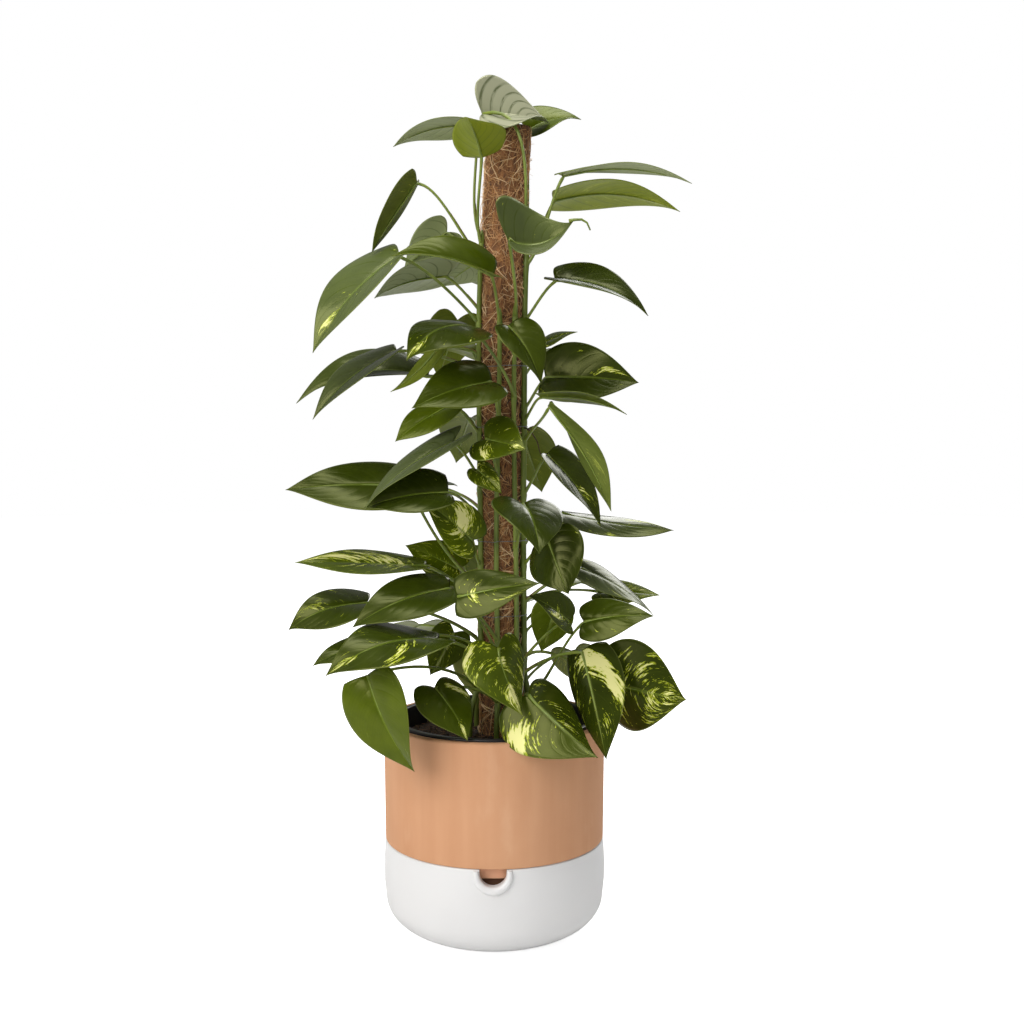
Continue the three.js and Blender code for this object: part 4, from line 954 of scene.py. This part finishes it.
# The stalk runs on under the blade as its rib. Some stalks keep a strip of their dry sheath.
def addStalk(bm, leaf, draw):
    s = stalkForm
    place = bladePlace(leaf)
    points = stalkPoints(leaf)
    count = len(points)
    thin = 0.75 + 0.25 * min(leaf["width"] / 60, 1.2)
    radii = []
    for i in range(count):
        t = i / (count - 1)
        root = (s["rootRadius"] - s["radius"]) * math.exp(-(t / s["rootSpan"]) ** 2)
        neck = (s["neckRadius"] - s["radius"]) * math.exp(-((t - s["neckAt"]) / s["neckSpan"]) ** 2)
        radii.append((s["radius"] + root + neck) * thin)
    for i in range(1, s["ribSteps"] + 1):
        along = s["ribStart"] + (s["ribEnd"] - s["ribStart"]) * i / s["ribSteps"]
        radius = s["ribRadius"] * (1 - along) + s["ribTip"]
        below = bladeForm["thickness"] + radius * s["ribSunk"]
        points.append(bladePoint(leaf, place, 0, along) - place[3] * below)
        radii.append(radius)
    sweepTube(bm, points, radii, s["sides"], 1)
    if draw.random() < s["sheathShare"]:
        strip = []
        for i in range(1, int(count * s["sheathEnd"])):
            ahead = (points[i + 1] - points[i - 1]).normalized()
            up = Vector((0, 0, 1)) - ahead * ahead.z
            strip.append(points[i] + up.normalized() * radii[i] * s["sheathLift"])
        widths = [s["sheathRadius"] * (1 - (i / len(strip)) ** 2) + s["sheathTip"] for i in range(len(strip))]
        sweepTube(bm, strip, widths, 5, 2)
    if "tail" in leaf:
        tip = bladePoint(leaf, place, 0, 1)
        tail = [tip + Vector(point) for point in leaf["tail"]]
        sweepTube(bm, tail, tapered(1.7, 1.1, len(tail)), 6, 1)


def leafPiece(name, leafList, materials, replaced, draw):
    bm = bmesh.new()
    for leaf in leafList:
        leaf.setdefault("seed", draw.random())
        leaf.setdefault("gold", draw.uniform(*bladeForm["golds"]))
        leaf.setdefault("tone", draw.uniform(*bladeForm["tones"]))
        addBlade(bm, leaf)
        addStalk(bm, leaf, draw)
    newPiece(name, bm, materials, replaced)


def makeLeaves(materials):
    draw = random.Random(23)
    for name, leaf in namedLeaves.items():
        leafPiece("blade_" + name, [leaf], materials, ["leaf_" + name], draw)
    for vine in vines:
        own = [leaf for leaf in joinedLeaves if leaf["vine"] == vine]
        if own:
            leafPiece("blades_" + vine, own, materials, ["vine_" + vine], draw)


# Wire ties. Each runs round the pole and its stems, and its ends are twisted together at the back.

tieForm = {"heights": [562, 503, 391, 317], "wireRadius": 0.38, "clearance": 0.5, "sides": 6, "steps": 96,
           "wave": 0.5, "waves": 3, "tailAngle": 180, "tailSpread": 8, "coilSteps": 10, "coilTurn": 1.3,
           "coilRadius": 0.7, "coilStart": 0.8, "coilPitch": 0.7, "coilShift": -4}


def makeTie(number, height, material):
    t = tieForm
    reach = t["clearance"] + t["wireRadius"]
    discs = [(Vector((poleX(height), 0, height)), poleForm["radius"] + reach)]
    discs += [(vinePoint(vine, height), vineForm["radius"] + reach) for vine in vines.values()
              if vine["top"] > height]

    def at(degrees):
        direction = outward(degrees)
        centre, radius = max(discs, key=lambda disc: disc[0].dot(direction) + disc[1])
        return centre + direction * radius

    first, last = t["tailAngle"], t["tailAngle"] + 360 - t["tailSpread"]
    angles = [first + (last - first) * i / t["steps"] for i in range(t["steps"] + 1)]
    points = [at(angle) + Vector((0, 0, t["wave"] * math.sin(math.radians(angle * t["waves"]))))
              for angle in angles]
    coilAngle = first + t["coilShift"]
    for i in range(1, t["coilSteps"]):
        turn = i * t["coilTurn"]
        points.append(at(coilAngle) + outward(coilAngle) * (t["coilStart"] + i * t["coilPitch"])
                      + Vector((math.cos(turn), 0, math.sin(turn))) * t["coilRadius"])
    bm = bmesh.new()
    sweepTube(bm, points, t["wireRadius"], t["sides"])
    newPiece(f"wireTie_{number}", bm, [material], [f"wire_tie_{number}"])


# Finishes

def vector(tree, x, y, z):
    return addNode(tree, "ShaderNodeCombineXYZ", {"X": x, "Y": y, "Z": z}).outputs[0]


# The crease colour is painted shade in the vein creases of the painted sheen.
# The noises are streaks, flecks and specks: scale along a vein, scale across it and detail.
leafFinish = {"noises": ((7.0, 1.7, 2.0), (42.0, 2.8, 3.0), (105.0, 13.0, 2.0)), "fineVeins": 4.0,
              "yellow": (0.36, 0.42, 0.022), "cream": (0.74, 0.72, 0.30), "creaseShade": (0.05, 0.065, 0.022)}


def makeLeafMaterial():
    material, tree, shader = newMaterial("leafBlade", Specular_IOR_Level=0.33,
                                         Specular_Tint=(0.97, 1.0, 0.4, 1.0))

    def times(first, second):
        return calc(tree, "MULTIPLY", first, second)

    def timesPlus(first, second, third):
        return calc(tree, "MULTIPLY_ADD", first, second, third)

    surfacePlace = addNode(tree, "ShaderNodeTexCoord").outputs["UV"]
    uv = addNode(tree, "ShaderNodeSeparateXYZ", {"Vector": surfacePlace}).outputs
    look = addNode(tree, "ShaderNodeAttribute", attribute_name="leafLook")
    given = addNode(tree, "ShaderNodeSeparateColor", {"Color": look.outputs["Color"]}).outputs
    gold, under, seed = given["Red"], given["Green"], given["Blue"]
    tone = calc(tree, "POWER", look.outputs["Alpha"], 1.5)
    pallor = addNode(tree, "ShaderNodeAttribute", attribute_name="leafPaintedSheen").outputs["Fac"]
    across = timesPlus(uv["X"], 2.0, -1.0)
    side = calc(tree, "ABSOLUTE", across)
    along = uv["Y"]
    near, far = bladeForm["veinBend"]
    level, slope = bladeForm["veinSlope"]
    shift = times(timesPlus(times(side, side), far, times(side, near)), timesPlus(along, slope, level))
    veinPlace = calc(tree, "SUBTRACT", along, shift)
    veins = bladeForm["veins"]
    coarse = calc(tree, "PINGPONG", times(veinPlace, veins), 0.5)
    fine = calc(tree, "PINGPONG", times(veinPlace, veins * leafFinish["fineVeins"]), 0.5)
    veinLine = times(ramp(tree, coarse, 0.0, 0.1, 1, 0), ramp(tree, side, 0.75, 1, 1, 0))
    fineLine = ramp(tree, fine, 0.0, 0.35, 1, 0)
    midrib = ramp(tree, side, 0.025, 0.06, 1, 0)
    rim = ramp(tree, side, 0.955, 0.99)

    seedPlace = times(seed, 40.0)
    layers = []
    for alongScale, acrossScale, detail in leafFinish["noises"]:
        spot = vector(tree, times(veinPlace, alongScale), times(across, acrossScale), seedPlace)
        inputs = {"Vector": spot, "Scale": 1.0, "Detail": detail, "Roughness": 0.6}
        layers.append(addNode(tree, "ShaderNodeTexNoise", inputs).outputs["Fac"])
    patch, streak, speck = layers
    drift = timesPlus(streak, 2.2, timesPlus(patch, 1.3, -2.2))
    drift = timesPlus(speck, 0.9, drift)
    level = calc(tree, "ADD", gold, drift)
    lime = ramp(tree, level, 0.43, 0.49)
    cream = ramp(tree, level, 0.58, 0.68)

    place = objectPlace(tree)
    # Each leaf's tone mixes its dark green towards a bright green: partly the leaf's own shade, partly
    # painted glow standing in for light shining through the leaf.
    green = mottle(tree, place, 45.0, 1.8, (0.011, 0.017, 0.0014), (0.023, 0.0345, 0.0022))["Color"]
    brightAndGlowingGreen = mottle(tree, place, 45.0, 1.8, (0.098, 0.145, 0.0028), (0.165, 0.225, 0.0045))["Color"]
    toned = mixColor(tree, tone, green, brightAndGlowingGreen)
    veined = mixColor(tree, times(veinLine, 0.06), toned, (0.10, 0.14, 0.015))
    veined = mixColor(tree, times(fineLine, 0.08), veined, (0.016, 0.026, 0.002))
    yellow = mixColor(tree, lime, veined, leafFinish["yellow"])
    creamy = mixColor(tree, cream, yellow, leafFinish["cream"])
    ribbed = mixColor(tree, times(midrib, 0.38), creamy, (0.14, 0.20, 0.018))
    top = mixColor(tree, times(rim, 0.35), ribbed, (0.22, 0.26, 0.05))

    # The underside mixes its own pale colour towards a lit copy by the same tone: painted light.
    pale = mottle(tree, place, 60.0, 1.4, (0.065, 0.088, 0.013), (0.10, 0.13, 0.022))["Color"]
    lit = mottle(tree, place, 60.0, 1.4, (0.15, 0.19, 0.008), (0.22, 0.26, 0.016))["Color"]
    tonedBack = mixColor(tree, tone, pale, lit)
    paleVeins = mixColor(tree, times(veinLine, 0.4), tonedBack, (0.06, 0.09, 0.008))
    back = mixColor(tree, times(lime, 0.6), paleVeins, (0.36, 0.40, 0.06))
    both = mixColor(tree, under, top, back)
    # Painted sheen: the per-vertex sheen amount pulls the leaf colour towards a milky grey-green painted
    # highlight, greyer still where the amount is above 0.8.
    foldShade = times(ramp(tree, coarse, 0.03, 0.2, 0.8, 0), ramp(tree, streak, 0.42, 0.56, 0.3, 1.0))
    strongSheen = ramp(tree, pallor, 0.8, 0.9)
    foldShade = times(foldShade, strongSheen)
    # Painted shade in the sheen: vein stripes, and fold bands where the sheen is strongest, are darkened
    # towards the crease colour.
    stripeShade = times(veinLine, ramp(tree, streak, 0.38, 0.58, 0.2, 0.7))
    sheen = mixColor(tree, strongSheen, (0.31, 0.355, 0.205), (0.33, 0.335, 0.225))
    sheenWithShade = mixColor(tree, calc(tree, "MAXIMUM", stripeShade, foldShade), sheen, leafFinish["creaseShade"])
    tree.links.new(mixColor(tree, pallor, both, sheenWithShade), shader["Base Color"])
    gloss = timesPlus(patch, 0.24, timesPlus(under, 0.2, 0.11))
    tree.links.new(gloss, shader["Roughness"])
    height = calc(tree, "ADD", times(veinLine, -0.13), times(fineLine, -0.01))
    height = timesPlus(midrib, -0.8, height)
    bumpFrom(tree, shader, height, 0.55, 0.0006)
    return material


def makeTerracottaMaterial():
    material, tree, shader = newMaterial("terracottaClay", Specular_IOR_Level=0.3)
    place = objectPlace(tree)
    upright = objectPlace(tree, (1, 1, 0.09))
    broad = mottle(tree, place, 14.0, 1.7, (0.53, 0.264, 0.136), (0.61, 0.332, 0.184))["Color"]
    bands = mottle(tree, upright, 48.0, 2.0, (0.49, 0.240, 0.121), (0.64, 0.362, 0.210))
    cloud = mixColor(tree, 0.4, broad, bands["Color"])
    bloom = mottle(tree, objectPlace(tree, (1, 1, 0.4)), 30.0, 3.2, (0, 0, 0), (1, 1, 1))["Mask"]
    pale = mixColor(tree, ramp(tree, bloom, 0.55, 1.3, 0.0, 0.35), cloud, (0.70, 0.45, 0.29))
    height = addNode(tree, "ShaderNodeSeparateXYZ", {"Vector": place}).outputs["Z"]
    # Painted light: the collar and the clay below it are lightened, as if lit, though they sit in shade
    # inside the reservoir.
    paintedCollarLight = mixColor(tree, ramp(tree, height, 0.0915, 0.0925, 0.7, 0.0), pale, (0.92, 0.50, 0.32))
    # Darker below the collar, on the part that sinks into the reservoir.
    darkBelowCollar = ramp(tree, height, 0.079, 0.0815, 0.9, 0.0)
    tree.links.new(mixColor(tree, darkBelowCollar, paintedCollarLight, (0.10, 0.045, 0.022)), shader["Base Color"])
    tree.links.new(ramp(tree, bloom, 0, 1, 0.78, 0.92), shader["Roughness"])
    grainBump(tree, shader, place, 900.0, 0.5, 0.16, 0.0004)
    return material


def makeGlazeMaterial():
    material, tree, shader = newMaterial("whiteGlaze", Coat_Roughness=0.36, Specular_IOR_Level=0.4)
    place = objectPlace(tree)
    tint = mottle(tree, place, 16.0, 1.4, (0.665, 0.667, 0.672), (0.70, 0.70, 0.70))
    tree.links.new(tint["Color"], shader["Base Color"])
    tree.links.new(ramp(tree, tint["Mask"], 0, 1, 0.36, 0.46), shader["Roughness"])
    tree.links.new(ramp(tree, tint["Mask"], 0, 1, 0.2, 0.35), shader["Coat Weight"])
    grainBump(tree, shader, place, 90.0, 0.05, 0.06, 0.0006)
    return material


def makeWoodMaterial():
    material, tree, shader = newMaterial("stakeWood")
    inputs = {"Vector": objectPlace(tree, shift=(-0.0148, 0, 0)), "Scale": 150.0, "Distortion": 2.0,
              "Detail": 2.0}
    rings = addNode(tree, "ShaderNodeTexWave", inputs, wave_type="RINGS",
                    rings_direction="Z").outputs["Fac"]
    colour = mixColor(tree, rings, (0.30, 0.18, 0.085), (0.46, 0.30, 0.16))
    tree.links.new(colour, shader["Base Color"])
    tree.links.new(ramp(tree, rings, 0, 1, 0.75, 0.9), shader["Roughness"])
    bumpFrom(tree, shader, rings, 0.2, 0.0003)
    return material


# Stage

def addLight(name, place, target, size, power, colour):
    data = bpy.data.lights.new(name, "AREA")
    data.shape = "RECTANGLE"
    data.size, data.size_y = size
    data.energy = power
    data.color = colour
    light = addObject(name, data)
    light.location = place
    light.rotation_euler = (Vector(target) - Vector(place)).to_track_quat("-Z", "Y").to_euler()


stageForm = {"cameraPlace": (0.0177, -1.300, 0.511), "cameraTilt": 4.08, "lens": 46.1, "floorRadius": 6.0,
             "world": 0.28, "floorGlow": 0.85}


def makeFloor():
    bm = bmesh.new()
    bmesh.ops.create_circle(bm, cap_ends=True, segments=96, radius=stageForm["floorRadius"])
    floor = addObject("paleFloor", asMesh("paleFloor", bm))
    paint = surface("paleFloorPaint", (0.88, 0.88, 0.88), (0.91, 0.91, 0.91), (0.7, 0.8), 2.0, bump=0.02)
    tree = paint.node_tree
    shader = tree.nodes["Principled BSDF"]
    seen = addNode(tree, "ShaderNodeLightPath").outputs["Is Camera Ray"]
    tree.links.new(mixColor(tree, seen, (0, 0, 0), (1, 1, 1)), shader.inputs["Emission Color"])
    shader.inputs["Emission Strength"].default_value = stageForm["floorGlow"]
    floor.data.materials.append(paint)


def makeWorld():
    world = bpy.data.worlds.new("studio")
    bpy.context.scene.world = world
    world.use_nodes = True
    background = world.node_tree.nodes["Background"]
    background.inputs["Color"].default_value = (1, 1, 1, 1)
    seen = addNode(world.node_tree, "ShaderNodeLightPath").outputs["Is Camera Ray"]
    strength = ramp(world.node_tree, seen, 0.0, 1.0, stageForm["world"], 1.0)
    world.node_tree.links.new(strength, background.inputs["Strength"])


def makeLights():
    addLight("keySoftbox", (-1.7, -1.9, 1.9), (0, 0, 0.4), (1.9, 2.1), 72, (1.0, 0.98, 0.95))
    addLight("topSoftbox", (0.1, -0.3, 2.6), (0, 0, 0.4), (1.6, 1.2), 40, (1, 1, 1))
    addLight("backSoftbox", (0.9, 2.0, 1.7), (0, 0, 0.5), (1.4, 1.4), 25, (1, 1, 1))


def makeCamera():
    data = bpy.data.cameras.new("photoCamera")
    data.lens = stageForm["lens"]
    data.sensor_width = 36
    camera = addObject("photoCamera", data)
    camera.location = stageForm["cameraPlace"]
    camera.rotation_euler = (math.radians(90 - stageForm["cameraTilt"]), 0, 0)
    bpy.context.scene.camera = camera
    bpy.context.scene.view_settings.view_transform = "Standard"


makeFloor()
makeWorld()
makeLights()
makeCamera()
print("stage ready")

makeReservoir(makeGlazeMaterial())
makeTerracotta(makeTerracottaMaterial())
makeNursery(surface("blackPlastic", (0.008, 0.008, 0.009), (0.018, 0.018, 0.02), (0.28, 0.42), 60.0,
                    grainScale=1500.0, bump=0.08))
print("pots ready")

peat = surface("peat", (0.012, 0.007, 0.004), (0.055, 0.030, 0.018), (0.85, 1.0), 220.0, 2.2, bump=0.9,
               bumpDistance=0.0012)
crumbs = surface("peatCrumbs", (0.016, 0.009, 0.005), (0.09, 0.05, 0.03), (0.85, 1.0), 160.0, 2.5, bump=0.7)
fibreBrown = surface("fibreBrown", (0.10, 0.045, 0.02), (0.24, 0.12, 0.06), (0.7, 0.85), 130.0, 2.0)
makeSoil(peat, crumbs, fibreBrown)
print("soil ready")

coirBase = surface("coirBase", (0.065, 0.026, 0.010), (0.32, 0.145, 0.055), (0.85, 1.0), 260.0, 2.6, bump=1.0,
                   bumpDistance=0.0015, stretch=(1, 1, 0.4))
fibreDark = surface("fibreDark", (0.23, 0.094, 0.031), (0.60, 0.31, 0.11), (0.7, 0.85), 90.0, 2.4)
fibreMid = surface("fibreMid", (0.52, 0.26, 0.10), (0.80, 0.48, 0.22), (0.6, 0.8), 110.0, 2.2)
fibrePale = surface("fibrePale", (0.66, 0.43, 0.21), (0.84, 0.62, 0.36), (0.55, 0.75), 80.0, 2.0)
makePole(coirBase)
makeCoirFibres(fibreDark, fibreMid, fibrePale)
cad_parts["pole_core"].data.materials.clear()
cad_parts["pole_core"].data.materials.append(makeWoodMaterial())
print("pole ready")

stemGreen = surface("stemGreen", (0.075, 0.110, 0.011), (0.22, 0.28, 0.045), (0.38, 0.5), 55.0, 2.6,
                    grainScale=700.0, bump=0.25, stretch=(1, 1, 0.25))
stalkGreen = surface("stalkGreen", (0.10, 0.145, 0.012), (0.23, 0.29, 0.042), (0.34, 0.46), 60.0, 2.0,
                     grainScale=900.0, bump=0.15, stretch=(1, 1, 0.4), Subsurface_Weight=0.1,
                     Subsurface_Scale=0.002)
drySheath = surface("drySheath", (0.07, 0.025, 0.012), (0.24, 0.12, 0.055), (0.55, 0.75), 110.0, 2.4,
                    bump=0.4)
rootBrown = surface("rootBrown", (0.022, 0.012, 0.006), (0.10, 0.05, 0.024), (0.6, 0.8), 150.0, 2.2, bump=0.4)
for name, vine in vines.items():
    makeStem(name, vine, [stemGreen, rootBrown])
print("stems ready")

makeLeaves([makeLeafMaterial(), stalkGreen, drySheath])
print("leaves ready")

tieWire = surface("tieWire", (0.10, 0.105, 0.10), (0.34, 0.35, 0.35), (0.3, 0.5), 300.0, Metallic=1.0)
for number, height in enumerate(tieForm["heights"], 1):
    makeTie(number, height, tieWire)
print("ties ready")
